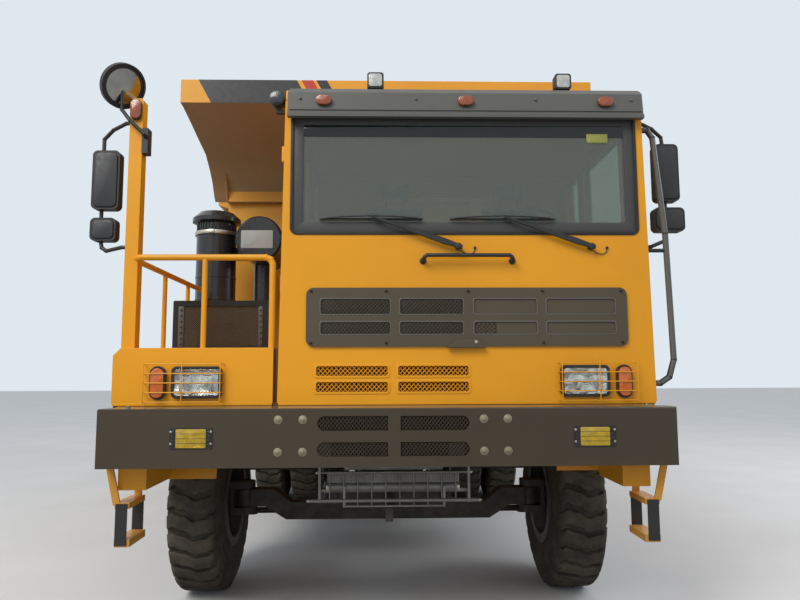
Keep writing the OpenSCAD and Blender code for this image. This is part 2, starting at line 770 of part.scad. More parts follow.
// guard rail on the deck, with the mirror post
rail_z = 2361;
rail_d = 38;
rail_post_d = 32;
rail_x = [709, 1576];
rail_bend = 42;
rail_mid_x = 1118;
rail_back_s = 1900;
rail_side_s = [820, 1380];
post_z1 = 3375;
module guard_rail() stand() color("#e8a52c") mirror([1, 0, 0]) {
    tube_path([
        [rail_x[0], 130, deck_top_z],
        [rail_x[0], 130, rail_z - rail_bend],
        [rail_x[0] + rail_bend * 0.3, 130, rail_z - rail_bend * 0.3],
        [rail_x[0] + rail_bend, 130, rail_z],
        [post_x[0] - 30, 130, rail_z],
        [post_x[0] + 8, post_s[0] + 10, rail_z]
    ], rail_d);
    tube_path([
        [rail_x[1], post_s[1] - 10, rail_z],
        [rail_x[1], rail_back_s - rail_bend, rail_z],
        [rail_x[1], rail_back_s, rail_z - rail_bend],
        [rail_x[1], rail_back_s, deck_top_z]
    ], rail_d);
    rod_z(rail_mid_x, 130, [deck_top_z, rail_z], rail_post_d);
    for (s = rail_side_s) rod_z(rail_x[1], s, [deck_top_z, rail_z], rail_post_d);
    along_y(post_s, [
        [post_x[0], deck_top_z],
        [post_x[1], deck_top_z],
        [post_x[1], post_z1 - 20],
        [post_x[1] - 20, post_z1],
        [post_x[0] + 12, post_z1],
        [post_x[0], post_z1 - 12]
    ]);
}

// mirrors at both sides and the grab rail at the left
mirror_tab = [
    // at the left, inset of the inner side, inset of the outer side, z0, z1
    [true, 180, 25, 2740, 3115],
    [true, 197, 0, 2545, 2700],
    [false, 190, 21, 2680, 3057],
    [false, 180, 21, 2480, 2626]
];
mirror_s = [215, 285];
mirror_r = 32;
mirror_rod_in = 75;
round_mirror = [1663, 150, 3450];
round_mirror_n = [-0.669, -0.57, -0.474];
round_mirror_d = 280;
round_mirror_t = 36;
mirror_arm_d = 24;
clamp_x = post_x[0] - 38;
grab_s = cab_s0 + 30;
function cab_side(z) = cab_x1 - lean(z) + seat_gap;
grab_d = 36;
grab_pts = [
    // x, z
    [cab_side(3173), 3173],
    [1624, 3173],
    [1656, 3123],
    [1711, 2512],
    [1729, 1734],
    [1697, 1629],
    [1640, 1591],
    [cab_side(1591), 1591]
];
module mirrors() stand() color("#1f1e1d") {
    for (m = mirror_tab) side(m[0])
        plate_y([mirror_reach - m[1], mirror_reach - m[2], m[3], m[4]], mirror_s, mirror_r);
    mirror([1, 0, 0]) {
        tube_path([
            [post_x[1] + seat_gap, 200, 3226],
            [post_x[1] + 35, 200, 3226],
            [1743, 230, 3193],
            [mirror_reach - mirror_rod_in, 250, 3139],
            [mirror_reach - mirror_rod_in, 250, 3040]
        ], mirror_arm_d);
        rod_z(mirror_reach - mirror_rod_in, 250, [2600, 2700], mirror_arm_d);
        tube_path([
            [mirror_reach - mirror_rod_in, 250, 2500],
            [mirror_reach - mirror_rod_in - 15, 240, 2440],
            [1757, 230, 2418],
            [post_x[1] + 35, 200, 2435],
            [post_x[1] + seat_gap, 200, 2435]
        ], mirror_arm_d);
        box([clamp_x, post_x[0] - seat_gap], [150, 220], [3020, 3180]);
        tube_path([
            [clamp_x + 14, 165, 3120],
            [clamp_x + 14, 125, 3132],
            [1600, 122, 3215],
            [1668, 160, 3300],
            round_mirror - round_mirror_n * 10
        ], mirror_arm_d);
        difference() {
            rod(
                round_mirror - round_mirror_n * round_mirror_t / 2,
                round_mirror + round_mirror_n * round_mirror_t / 2,
                round_mirror_d
            );
            rod(
                round_mirror + round_mirror_n * (round_mirror_t / 2 - 8),
                round_mirror + round_mirror_n * round_mirror_t,
                round_mirror_d - 24
            );
        }
    }
    tube_path([for (p = grab_pts) [p[0], grab_s, p[1]]], grab_d);
    rod_x([cab_side(2405), 1716], grab_s, 2405, mirror_arm_d);
    tube_path([
        [cab_side(3246), 200, 3246],
        [1606, 200, 3246],
        [1690, 215, 3213],
        [mirror_reach - 118, 250, 3170],
        [mirror_reach - 110, 250, 3100]
    ], mirror_arm_d);
    rod_z(mirror_reach - 110, 250, [2680, 2760], mirror_arm_d);
    tube_path([
        [mirror_reach - 110, 250, 2570],
        [mirror_reach - 120, 240, 2490],
        [1645, 200, 2441],
        [cab_side(2441), 200, 2441]
    ], mirror_arm_d);
}

// radiator with its screen, on the deck
radiator_box = [890, 1600, deck_top_z, 2200];
radiator_s = [1100, 1180];
radiator_frame = 40;
module radiator() stand() color("#2a2927") mirror([1, 0, 0]) difference() {
    plate_y(radiator_box, radiator_s, 12);
    plate_y(
        [
            radiator_box[0] + radiator_frame, radiator_box[1] - radiator_frame,
            radiator_box[2] + radiator_frame, radiator_box[3] - radiator_frame
        ],
        [radiator_s[0] - 5, radiator_s[0] + 20],
        8
    );
}

// air cleaners behind the deck: an upright one with a rain cap, and a lying one
cleaner_pts = [
    // radius, height
    [0, 1955],
    [cleaner_d / 2, 1955],
    [cleaner_d / 2, cleaner_z1 - 240],
    [cleaner_d / 2 + 8, cleaner_z1 - 232],
    [cleaner_d / 2 + 8, cleaner_z1 - 196],
    [cleaner_d / 2 - 6, cleaner_z1 - 186],
    [cleaner_d / 2 - 6, cleaner_z1 - 128],
    [cleaner_cap_d / 2, cleaner_z1 - 112],
    [cleaner_cap_d / 2, cleaner_z1 - 76],
    [cleaner_cap_d / 2 - 62, cleaner_z1 - 20],
    [0, cleaner_z1]
];
housing_s = [1900, 2490];
housing_pts = [
    // radius, distance from the bumper's face
    [0, housing_s[0]],
    [housing_d / 2 - 18, housing_s[0]],
    [housing_d / 2, housing_s[0] + 18],
    [housing_d / 2, housing_s[1] - 18],
    [housing_d / 2 - 18, housing_s[1]],
    [0, housing_s[1]]
];
module air_cleaners() stand() color("#26262a") mirror([1, 0, 0]) {
    translate([cleaner_x, cleaner_s, 0]) rotate_extrude() polygon(cleaner_pts);
    box([cleaner_x - 110, cleaner_x + 50], [cleaner_s - 130, cleaner_s + 130], [deck_top_z, 1960]);
    translate([housing_x, 0, housing_z]) mirror([0, 0, 1]) rotate([-90, 0, 0])
        rotate_extrude() polygon(housing_pts);
    rod_z(housing_x, 2200, [deck_top_z, housing_z], 180);
    box([housing_x + 60, cleaner_x], [2170, 2270], [2690, 2800]);
}

// engine and gearbox, as plain blocks
gearbox_s1 = 2950;
module engine_block() stand() color("#3d3c3a") {
    box([-engine_half, engine_half], [engine_s0, engine_s0 + engine_len], [engine_z0 + 180, engine_z1]);
    along_y([engine_s0, engine_s0 + engine_len - 300], [
        [-engine_half + 60, engine_z0 + 180],
        [-engine_half + 120, engine_z0 + seat_gap],
        [engine_half - 120, engine_z0 + seat_gap],
        [engine_half - 60, engine_z0 + 180]
    ]);
    box([-250, 250], [engine_s0 + engine_len - 300, gearbox_s1 - 200], [engine_z0 + seat_gap, 1400]);
    box([-150, 150], [gearbox_s1 - 200, gearbox_s1], [860, 1100]);
}

// cooler under the bumper, with rods and guard wires
cooler_s = [478, 548];
cooler_z = [895, 965, 1016];
cooler_x = [-398, 448];
cooler_strap_x = [-452, 500];
cooler_strap_t = 16;
cooler_rods = [
    // x0, x1, height, diameter
    [-452, 515, 1028, 16],
    [-509, 572, 853, 24],
    [-295, 357, 818, 14]
];
guard_wires = 10;
guard_wire_d = 7;
module front_cooler() stand() color("#5b5a57") {
    box(cooler_x, cooler_s, [cooler_z[1] - 4, cooler_z[2]]);
    rod_x(cooler_x, cooler_s[0] + 35, (cooler_z[0] + cooler_z[1]) / 2, cooler_z[1] - cooler_z[0]);
    box([-287, 345], [cooler_s[0] + 4, cooler_s[0] + 40], [1040, 1056]);
    for (r = cooler_rods) rod_x([r[0], r[1]], cooler_s[0] - 20, r[2], r[3]);
    for (i = [0 : guard_wires - 1]) {
        x = -380 + i * 804 / (guard_wires - 1);
        rod_z(x, cooler_s[0] - 20, [i < 2 || i > guard_wires - 3 ? 853 : 818, 1028], guard_wire_d);
    }
    for (x = cooler_strap_x) {
        box([x, x + cooler_strap_t], [cooler_s[0] - 28, cooler_s[1]], [840, horn_z1]);
        box(
            x < 0 ? [x, cooler_x[0]] : [cooler_x[1], x + cooler_strap_t],
            [cooler_s[0] + 10, cooler_s[1] - 10],
            [900, 920]
        );
    }
    box([-295, -280], [cooler_s[0] - 25, cooler_s[0] + 20], [812, 940]);
    box([342, 357], [cooler_s[0] - 25, cooler_s[0] + 20], [812, 940]);
    for (x = [-200, 250]) box([x, x + 12], [cooler_s[0] + 4, cooler_s[0] + 40], [cooler_z[2] - 5, 1056]);
}

// tanks at both sides behind the front wheels, each held by two bands
tank_r = 90;
band_w = 60;
band_t = 6;
module tank(x, s, z) {
    plate_y([x[0], x[1], z[0], z[1]], s, tank_r);
    for (b = [s[0] + 120, s[1] - 120 - band_w])
        plate_y([x[0] + 40, x[1] + band_t, z[0] - band_t, z[1] + band_t], [b, b + band_w], tank_r);
}
module side_tanks() stand() color("#3f3d3a") both() {
    tank([tank_x0, tank_x1], [tank_s0, tank_s0 + tank_len], [tank_z0, tank_z1]);
    tank([tank_x0, rear_tank_x1], [rear_tank_s0, rear_tank_s0 + rear_tank_len], [tank_z0 + 30, tank_z1]);
    rod_z((tank_x0 + tank_x1) / 2, tank_s0 + 500, [tank_z1 - 5, tank_z1 + 50], 130);
}

// hanging steps under the bumper's ends
step_s = [160, 430];
step_tab = [
    // x0, x1, z0, z1
    [bumper_half - 149, bumper_half - 62, 870, 905],
    [bumper_half - 157, bumper_half - 65, 652, 695]
];
hanger_x = [bumper_half - 96, bumper_half - 52, bumper_half, bumper_half - 44];
rear_hanger_x = [bumper_half - 130, bumper_half - 85];
hanger_t = 14;
strap_x = [bumper_half - 139, bumper_half - 71];
strap_t = 8;
module hanging_steps() stand() color("#e8a52c") both() {
    for (t = step_tab) difference() {
        box([t[0], t[1]], step_s, [t[2], t[3]]);
        box([t[0] + 10, t[1] - 10], [step_s[0] + 10, step_s[1] - 10], [t[2] - 5, t[3] - 8]);
    }
    along_y([step_s[0], step_s[0] + hanger_t], [
        [hanger_x[0], step_tab[0][3] - 15],
        [hanger_x[1], step_tab[0][3] - 15],
        [hanger_x[2], bumper_z0 - seat_gap],
        [hanger_x[3], bumper_z0 - seat_gap]
    ]);
    box(rear_hanger_x, [step_s[1] - hanger_t, step_s[1]], [step_tab[0][3] - 15, well_z0 - seat_gap]);
}

// straps of the hanging steps
module step_straps() stand() color("#22211f") both()
    for (s = [step_s[0] - strap_t, step_s[1]])
        box(strap_x, [s, s + strap_t], [step_tab[1][2] + 10, step_tab[0][3] - 6]);

// front axle beam
beam_half_s = 70;
beam_pts = [
    // x, height over the wheel centre
    [0, -165],
    [800, -165],
    [960, -65],
    [1080, -65],
    [1080, 65],
    [900, 65],
    [760, -35],
    [0, -35]
];
kingpin_r = 30;
beam_end_z = [wheel_z - beam_end_h / 2, wheel_z + beam_end_h / 2];
module front_axle() stand() color("#2f2d2a") difference() {
    union() {
        both() {
            translate([0, 0, wheel_z])
                along_y([front_axle_s - beam_half_s, front_axle_s + beam_half_s], beam_pts);
            rod_z(kingpin_x, front_axle_s, beam_end_z, kingpin_boss_r * 2);
        }
    }
    both() rod_z(kingpin_x, front_axle_s, [wheel_z - 200, wheel_z + 200], (kingpin_r + pin_gap) * 2);
}

// middle and rear axle housings
axle_end = twin_track_half - twin_pitch / 2 - tyre_w / 2 - 15;
axle_ss = [mid_axle_s, rear_axle_s];
pinion_z = wheel_z + 50;
pinion_len = 300;
bowl_pts = [
    // radius, distance along the truck
    [0, -150],
    [145, -150],
    [235, -60],
    [235, 60],
    [145, 150],
    [0, 150]
];
module rear_axles() stand() color("#2f2d2a") for (s = axle_ss) {
    rod_x([-axle_end, axle_end], s, wheel_z, 230);
    rod_x([-axle_end - stub_len, axle_end + stub_len], s, wheel_z, stub_d);
    translate([0, s, wheel_z]) rotate([-90, 0, 0]) rotate_extrude() polygon(bowl_pts);
    rod_y(0, [s - pinion_len, s], pinion_z, 160);
    if (s == mid_axle_s) rod_y(0, [s, s + pinion_len], pinion_z, 160);
    both() box([560, 660], [s - 90, s + 90], [wheel_z + 60, 880]);
}

// leaf springs
module springs() stand() color("#26241f") both() {
    along_x([rail_in, rail_out], [
        [1000, rail_z0],
        [1000, 750],
        [1280, 700],
        [1480, wheel_z - 35],
        [1700, wheel_z - 35],
        [1900, 700],
        [2180, 750],
        [2180, rail_z0],
        [2120, rail_z0],
        [2120, 775],
        [1060, 775],
        [1060, rail_z0]
    ]);
    along_x(spring_x, [
        [mid_axle_s - 90, 880],
        [rear_axle_s + 90, 880],
        [rear_axle_s + 90, 910],
        [trunnion_s + 160, 1000],
        [trunnion_s - 160, 1000],
        [mid_axle_s - 90, 910]
    ]);
}

// propshafts from the gearbox to the axles
shaft_d = 110;
flange_d = 150;
flange_t = 40;
shafts = [
    // s0, z0, s1, z1
    [gearbox_s1, 950, mid_axle_s - pinion_len, pinion_z],
    [mid_axle_s + pinion_len, pinion_z, rear_axle_s - pinion_len, pinion_z]
];
module propshafts() stand() color("#4b4843") for (p = shafts) {
    rod_y(0, [p[0], p[0] + flange_t], p[1], flange_d);
    rod_y(0, [p[2] - flange_t, p[2]], p[3], flange_d);
    rod([0, p[0] + flange_t / 2, p[1]], [0, p[2] - flange_t / 2, p[3]], shaft_d);
}

// doors, each on two hinges at its front edge
door_win = [380, 70, 2560, 3225];
function win_s(left) = [door_win[0], door_end(left) - door_win[1]];
hinge_out = 8;
door_hinge_zs = [2220, 3060];
door_hinge_h = 50;
door_hinge_r = 14;
door_pin_r = 8;
function hinge_x(left) = left ? cab_x1 + hinge_out : cab_x0 - hinge_out;
function leaf_x(left, z) = left
    ? [cab_x1 - lean(z) - 20, hinge_x(left)]
    : [hinge_x(left), cab_x0 + lean(z) + 20];
module cab_hinges(left) for (z = door_hinge_zs) {
    rod_z(hinge_x(left), door_s0, [z - door_hinge_h, z], door_hinge_r * 2);
    rod_z(hinge_x(left), door_s0, [z - door_hinge_h, z + door_hinge_h], door_pin_r * 2);
    box(leaf_x(left, z), [door_s0 - 40, door_s0], [z - door_hinge_h, z]);
}
module door_leaf(left) difference() {
    union() {
        difference() {
            cab_wall(
                left,
                [door_s0 + door_gap, door_end(left) - door_gap],
                [door_z0 + door_gap, door_z1 - door_gap],
                cab_t
            );
            box([cab_x0 - 100, cab_x1 + 100], win_s(left), [door_win[2], door_win[3]]);
        }
        for (z = door_hinge_zs) {
            rod_z(hinge_x(left), door_s0, [z + seat_gap, z + door_hinge_h], door_hinge_r * 2);
            box(leaf_x(left, z), [door_s0, door_s0 + 50], [z + seat_gap, z + door_hinge_h]);
        }
    }
    for (z = door_hinge_zs)
        rod_z(hinge_x(left), door_s0, [z - 5, z + door_hinge_h + 5], (door_pin_r + pin_gap) * 2);
}
module door_pane(left) intersection() {
    translate([left ? -20 : 20, 0, 0])
        cab_wall(left, [door_s0, door_end(left)], [door_z0, cab_roof_z0], glass_t);
    box([cab_x0 - 100, cab_x1 + 100], win_s(left), [door_win[2], door_win[3]]);
}
module door_left() stand() color("#e8a52c") door_leaf(true);
module door_right() stand() color("#e8a52c") door_leaf(false);
module door_left_glass() stand() color("#4f5650") door_pane(true);
module door_right_glass() stand() color("#4f5650") door_pane(false);

// steering knuckle
yoke_t = 54;
yoke_gap = 7;
pin_r = 18;
hub_in = front_track_half - 95;
module knuckle() {
    lo = beam_end_z[0] - yoke_gap;
    hi = beam_end_z[1] + yoke_gap;
    ends = [front_axle_s - 75, front_axle_s + 75];
    for (z = [[lo - yoke_t, lo], [hi, hi + yoke_t]]) {
        rod_z(kingpin_x, front_axle_s, z, 150);
        box([kingpin_x, kingpin_x + 110], ends, z);
    }
    box([kingpin_x + 80, kingpin_x + 110], ends, [lo - yoke_t, hi + yoke_t]);
    rod_z(kingpin_x, front_axle_s, [lo - yoke_t, hi + yoke_t], kingpin_r * 2);
    rod_x([kingpin_x + 100, hub_in - wheel_gap], front_axle_s, wheel_z, 130);
    rod_x([kingpin_x + 100, hub_in + stub_len], front_axle_s, wheel_z, stub_d);
    along_z([lo - yoke_t, lo - yoke_t + 35], [
        [kingpin_x - 45, front_axle_s],
        [kingpin_x + 45, front_axle_s],
        [kingpin_x + 45, front_axle_s + steer_arm_len],
        [kingpin_x - 45, front_axle_s + steer_arm_len]
    ]);
    rod_z(kingpin_x, front_axle_s + steer_arm_len, [lo - yoke_t, lo - yoke_t + 35], 90);
    rod_z(kingpin_x, front_axle_s + steer_arm_len, [lo - yoke_t - 60, lo - yoke_t], pin_r * 2);
}
module knuckle_left() stand() color("#33302c") knuckle();
module knuckle_right() stand() color("#33302c") mirror([1, 0, 0]) knuckle();

// tie rod between the knuckles
module tie_rod() stand() color("#33302c") difference() {
    z1 = wheel_z - beam_end_h / 2 - yoke_gap - yoke_t - 6;
    s = front_axle_s + steer_arm_len;
    x = kingpin_x;
    union() {
        rod_x([-x, x], s, z1 - 30, tie_rod_d - 10);
        both() rod_z(x, s, [z1 - 60, z1], 84);
    }
    both() rod_z(x, s, [z1 - 70, z1 + 10], (pin_r + pin_gap) * 2);
}

// rims: rings of a profile turned round the axle
rim_pts = [
    // radius, distance from the tyre's middle
    [rim_well_d / 2, -182],
    [rim_flange_d / 2, -182],
    [rim_flange_d / 2, -168],
    [320, -168],
    [320, 168],
    [rim_flange_d / 2, 168],
    [rim_flange_d / 2, 182],
    [rim_well_d / 2, 182]
];
module turned(pts) rotate([0, 90, 0]) rotate_extrude() polygon(pts);
module rim_disc(x) difference() {
    rod_x([x - 10, x + 10], 0, 0, rim_well_d + 6);
    for (i = [0 : hand_holes - 1]) rotate([i * 360 / hand_holes, 0, 0])
        rod_x([x - 20, x + 20], 0, 225, 62);
}
module hub_bore(x) rod_x([x - 5, x + stub_len + 10], 0, 0, (stub_d / 2 + pin_gap) * 2);
module rim_front() translate([front_track_half, front_axle_s, wheel_z]) difference() {
    union() {
        turned(rim_pts);
        rim_disc(-40);
        rod_x([hub_in - front_track_half, 90], 0, 0, 260);
        rod_x([90, 120], 0, 0, 170);
    }
    hub_bore(hub_in - front_track_half);
}
module rims_twin(s) translate([twin_track_half, s, wheel_z]) difference() {
    hub_x0 = axle_end + wheel_gap - twin_track_half;
    union() {
        for (x = [-twin_pitch / 2, twin_pitch / 2]) translate([x, 0, 0]) turned(rim_pts);
        rim_disc(-54);
        rim_disc(54);
        rod_x([hub_x0, 230], 0, 0, 300);
        rod_x([230, 300], 0, 0, 220);
    }
    hub_bore(hub_x0);
}
module rim_front_left() stand() color("#3c3a38") rim_front();
module rim_front_right() stand() color("#3c3a38") mirror([1, 0, 0]) rim_front();
module rims_mid_left() stand() color("#3c3a38") rims_twin(mid_axle_s);
module rims_mid_right() stand() color("#3c3a38") mirror([1, 0, 0]) rims_twin(mid_axle_s);
module rims_rear_left() stand() color("#3c3a38") rims_twin(rear_axle_s);
module rims_rear_right() stand() color("#3c3a38") mirror([1, 0, 0]) rims_twin(rear_axle_s);

// tyres: a carcass with a ring of cross lugs
carcass_pts = [
    // radius, distance from the tyre's middle
    [320, -165],
    [rim_flange_d / 2, -165],
    [500, -tyre_w / 2],
    [tyre_od / 2 - 45, -tyre_w / 2 + 32],
    [tyre_od / 2 - 45, tyre_w / 2 - 32],
    [500, tyre_w / 2],
    [rim_flange_d / 2, 165],
    [320, 165]
];
carcass_fn = 16;
lug_half = tyre_w / 2 - 30;
lug_step = 360 / tyre_lugs;
lug_top = 0.34 * lug_step;
lug_foot = 0.38 * lug_step;
function lug_ring() = [
    for (i = [0 : tyre_lugs - 1])
        for (p = [
            [-lug_foot, tyre_od / 2 - groove_depth],
            [-lug_top, tyre_od / 2 / cos(lug_top)],
            [lug_top, tyre_od / 2 / cos(lug_top)],
            [lug_foot, tyre_od / 2 - groove_depth]
        ]) [p[1] * sin(i * lug_step + p[0]), -p[1] * cos(i * lug_step + p[0])]
];
module tyre_at(x, s) translate([x, s, wheel_z]) {
    rotate([0, 90, 0]) rotate_extrude($fn = carcass_fn) polygon(carcass_pts);
    difference() {
        along_x([-lug_half, lug_half], lug_ring());
        rod_x([-tyre_w, tyre_w], 0, 0, 1200, $fn = carcass_fn);
    }
}
module tyres_twin(s) for (x = [-1, 1]) tyre_at(twin_track_half + x * twin_pitch / 2, s);
module tyre_front_left() stand() color("#242322") tyre_at(front_track_half, front_axle_s);
module tyre_front_right() stand() color("#242322") mirror([1, 0, 0]) tyre_at(front_track_half, front_axle_s);
module tyres_mid_left() stand() color("#242322") tyres_twin(mid_axle_s);
module tyres_mid_right() stand() color("#242322") mirror([1, 0, 0]) tyres_twin(mid_axle_s);
module tyres_rear_left() stand() color("#242322") tyres_twin(rear_axle_s);
module tyres_rear_right() stand() color("#242322") mirror([1, 0, 0]) tyres_twin(rear_axle_s);

// load body: floor, ribbed sides and front wall
bed_in = bed_half - bed_wall_t;
bed_section = [
    // x, z of one half, outside
    [0, bed_under_z],
    [bed_half - bed_chamfer, bed_under_z],
    [bed_half, bed_under_z + bed_chamfer],
    [bed_half, bed_band_z0],
    [body_half - 35, bed_band_z0 + 30],
    [body_half - 35, bed_rail_z0],
    [body_half, bed_rail_z0],
    [body_half, bed_rail_z1],
    [0, bed_rail_z1]
];
bed_hollow = [
    // x, z of one half, inside
    [0, bed_floor_z],
    [bed_in - bed_chamfer + 20, bed_floor_z],
    [bed_in, bed_floor_z + bed_chamfer - 20],
    [bed_in, bed_rail_z1 + 10],
    [0, bed_rail_z1 + 10]
];
rib_ss = [2950, 3700, 4450, 5200, 5950, 6700, 7450, 8100];
rib_w = 110;
rib_out = 75;
tail_post_w = 160;
front_rib_xs = [-900, 0, 900];
front_rib = [60, 60, 3365];
front_open_z = 3440;
module bed_rib(s, w) both() along_y([s, s + w], [
    [bed_half - 5, bed_under_z + bed_chamfer],
    [bed_half + rib_out, bed_under_z + bed_chamfer + 100],
    [bed_half + rib_out, bed_band_z0 + 20],
    [bed_half - 5, bed_band_z0 + 20]
]);
module bed_floor_tail(x, lift, t) along_x(x, [
    [tail_s0, lift],
    [overall_len, lift + tail_rise],
    [overall_len, lift + tail_rise + t],
    [tail_s0, lift + t]
]);
module bed_body() stand() color("#e8a52c") {
    difference() {
        union() {
            both() along_y([bed_s0, overall_len], bed_section);
            for (s = rib_ss) bed_rib(s, rib_w);
            bed_rib(overall_len - tail_post_w, tail_post_w);
        }
        both() along_y([bed_s0 + 50, overall_len + 10], bed_hollow);
        box([-bed_in, bed_in], [bed_s0 - 5, bed_s0 + 60], [front_open_z, bed_rail_z1 + 10]);
        along_x([-2000, 2000], [
            [tail_s0, bed_under_z - 10],
            [tail_s0, bed_under_z],
            [overall_len + 10, bed_under_z + tail_slope * (overall_len + 10 - tail_s0)],
            [overall_len + 10, bed_under_z - 10]
        ]);
    }
    bed_floor_tail([-bed_in, bed_in], bed_under_z, bed_floor_t);
    for (x = front_rib_xs) box(
        [x - front_rib[0], x + front_rib[0]],
        [bed_s0 - front_rib[1], bed_s0],
        [bed_floor_z, front_rib[2]]
    );
}

// canopy over the cab: a closed box that opens into the load body
canopy_t = 40;
canopy_slope_s = [2120, 3170];
soffit = [
    // share of the way to the load body, drop below the lip's lower edge
    [0, 0],
    [0.072, 9],
    [0.248, 55],
    [0.488, 125],
    [0.672, 175],
    [0.8, 275],
    [0.888, 365],
    [0.96, 485],
    [1, 535]
];
function soffit_s(i) = canopy_s0 + soffit[i][0] * (bed_s0 - canopy_s0);
function soffit_z(i) = canopy_z0 - soffit[i][1];
stiffener_t = 16;
module bed_canopy() stand() color("#e8a52c") {
    difference() {
        along_x([-body_half, body_half], concat(
            [[canopy_s0, canopy_z1]],
            [for (i = [0 : len(soffit) - 1]) [soffit_s(i), soffit_z(i)]],
            [[bed_s0, bed_rail_z1], [canopy_slope_s[1], bed_rail_z1], [canopy_slope_s[0], canopy_z1]]
        ));
        along_x([-body_half + canopy_t, body_half - canopy_t], concat(
            [[canopy_s0 + canopy_t, canopy_z1 - canopy_t], [canopy_s0 + canopy_t, canopy_z0 + canopy_t]],
            [for (i = [1 : len(soffit) - 1]) [soffit_s(i), soffit_z(i) + canopy_t]],
            [
                [bed_s0 + 60, soffit_z(len(soffit) - 1) + canopy_t],
                [canopy_slope_s[1] - 100, bed_rail_z1 - 10],
                [canopy_slope_s[0] - 10, canopy_z1 - canopy_t]
            ]
        ));
    }
    box([-bed_half, bed_half], [bed_s0 - 80, bed_s0], [front_rib[2], 3500]);
    both() along_x([bed_half - stiffener_t, bed_half], [
        [bed_s0 - 240, soffit_z(5)],
        [bed_s0 - 80, front_rib[2]],
        [bed_s0, front_rib[2]],
        [bed_s0, 3600],
        [bed_s0 - 240, soffit_z(5) + 20]
    ]);
}

// beams under the floor with the hinge lugs
beam_s = [2850, 7600];
lug_x = [rail_out + 10, rail_out + 80];
lug_ss = [7400, 7730, 7870, 8100];
lug_z0 = 1200;
lug_link_s = 7450;
lug_link_z = [1560, 1780];
lug_pts = [
    // s, z
    [lug_ss[0], lug_link_z[0]],
    [lug_ss[1], lug_z0],
    [lug_ss[2], lug_z0],
    [lug_ss[3], tail_under(lug_ss[3])],
    [lug_ss[0], tail_under(lug_ss[0])]
];
module bed_beams() stand() color("#e8a52c") both() difference() {
    union() {
        along_x([rail_in, rail_out], [
            [beam_s[0], bed_beam_z0],
            [beam_s[1], bed_beam_z0],
            [beam_s[1], tail_under(beam_s[1])],
            [tail_s0, bed_seat_z],
            [beam_s[0], bed_seat_z]
        ]);
        box([rail_in, lug_x[1]], [lug_link_s, beam_s[1]], lug_link_z);
        along_x(lug_x, lug_pts);
        rod_x(lug_x, hinge_s, hinge_z, 190);
    }
    rod_x([rail_out, rail_out + 100], hinge_s, hinge_z, (hinge_pin_r + pin_gap) * 2);
}

// crossbeams under the floor, with the hoist's upper lugs
bed_cross_ss = [2900, 3500, 4100, 4700, 5300, 6500, 6850];
bed_cross_w = 110;
bed_cross_x1 = 1290;
bed_cross_z0 = 1500;
tail_cross_in = 100;
tail_cross_w = 100;
tail_cross_s = [overall_len - tail_cross_in - tail_cross_w, overall_len - tail_cross_in];
tail_cross_h = 100;
hoist_lug_x = [50, 78];
hoist_lug_half = 170;
hoist_lug_r = 76;
hoist_window_r = hoist_pin_r + 26;
module bed_cross() stand() color("#e8a52c") {
    for (s = bed_cross_ss) {
        box([-rail_in, rail_in], [s, s + bed_cross_w], [bed_cross_z0, bed_seat_z]);
        both() box([rail_out, bed_cross_x1], [s, s + bed_cross_w], [bed_cross_z0, bed_seat_z]);
    }
    box([-rail_in, rail_in], [lug_link_s, beam_s[1]], lug_link_z);
    along_x([-bed_cross_x1, bed_cross_x1], [
        [tail_cross_s[0], tail_under(tail_cross_s[0]) - tail_cross_h],
        [tail_cross_s[1], tail_under(tail_cross_s[1]) - tail_cross_h],
        [tail_cross_s[1], tail_under(tail_cross_s[1])],
        [tail_cross_s[0], tail_under(tail_cross_s[0])]
    ]);
    for (e = [-1, 1]) {
        s = hoist_top_s + e * (hoist_lug_half - 20);
        box([-rail_in, rail_in], [s - 20, s + 20], [1530, bed_seat_z]);
    }
    both() for (e = [-1, 1]) hoist_lug(hoist_x + e * (hoist_lug_x[0] + hoist_lug_x[1]) / 2);
}
module hoist_lug(x) difference() {
    half_t = (hoist_lug_x[1] - hoist_lug_x[0]) / 2;
    union() {
        box(
            [x - half_t, x + half_t],
            [hoist_top_s - hoist_lug_half + 40, hoist_top_s + hoist_lug_half - 40],
            [hoist_top_z, bed_seat_z]
        );
        rod_x([x - half_t, x + half_t], hoist_top_s, hoist_top_z, hoist_lug_r * 2);
    }
    rod_x([x - 50, x + 50], hoist_top_s, hoist_top_z, hoist_window_r * 2);
}

// hoist: barrels, two stages and rods
hoist_len = norm([hoist_top_s - hoist_base_s, hoist_top_z - hoist_base_z]);
hoist_lean = atan2(hoist_top_s - hoist_base_s, hoist_top_z - hoist_base_z);
module hoist_frame() both()
    translate([hoist_x, hoist_base_s, hoist_base_z]) rotate([-hoist_lean, 0, 0]) children();
stage_wall = 12;
stage_gap = 0.6;
stage_z1s = [600, 610, 620];
eye_half = 45;
eye_d = 100;
function stage_d(i) = hoist_barrel_d - 2 * i * (stage_wall + stage_gap);
module stage_tube(i, z0) difference() {
    cylinder(h = stage_z1s[i], d = stage_d(i));
    translate([0, 0, z0 + 15]) cylinder(h = stage_z1s[i], d = stage_d(i) - 2 * stage_wall);
    translate([0, 0, -1]) cylinder(h = z0 + 1, d = stage_d(i) + 10);
}
module hoist_barrels() stand() color("#34322f") hoist_frame() difference() {
    union() {
        stage_tube(0, 60);
        rod_x([-eye_half, eye_half], 0, 0, 120);
        translate([-eye_half, -40, 0]) cube([2 * eye_half, 80, 75]);
    }
    rod_x([-60, 60], 0, 0, (hoist_pin_r + pin_gap) * 2);
}
module hoist_stage_1() stand() color("#8b8984") hoist_frame() stage_tube(1, 80);
module hoist_stage_2() stand() color("#8b8984") hoist_frame() stage_tube(2, 100);
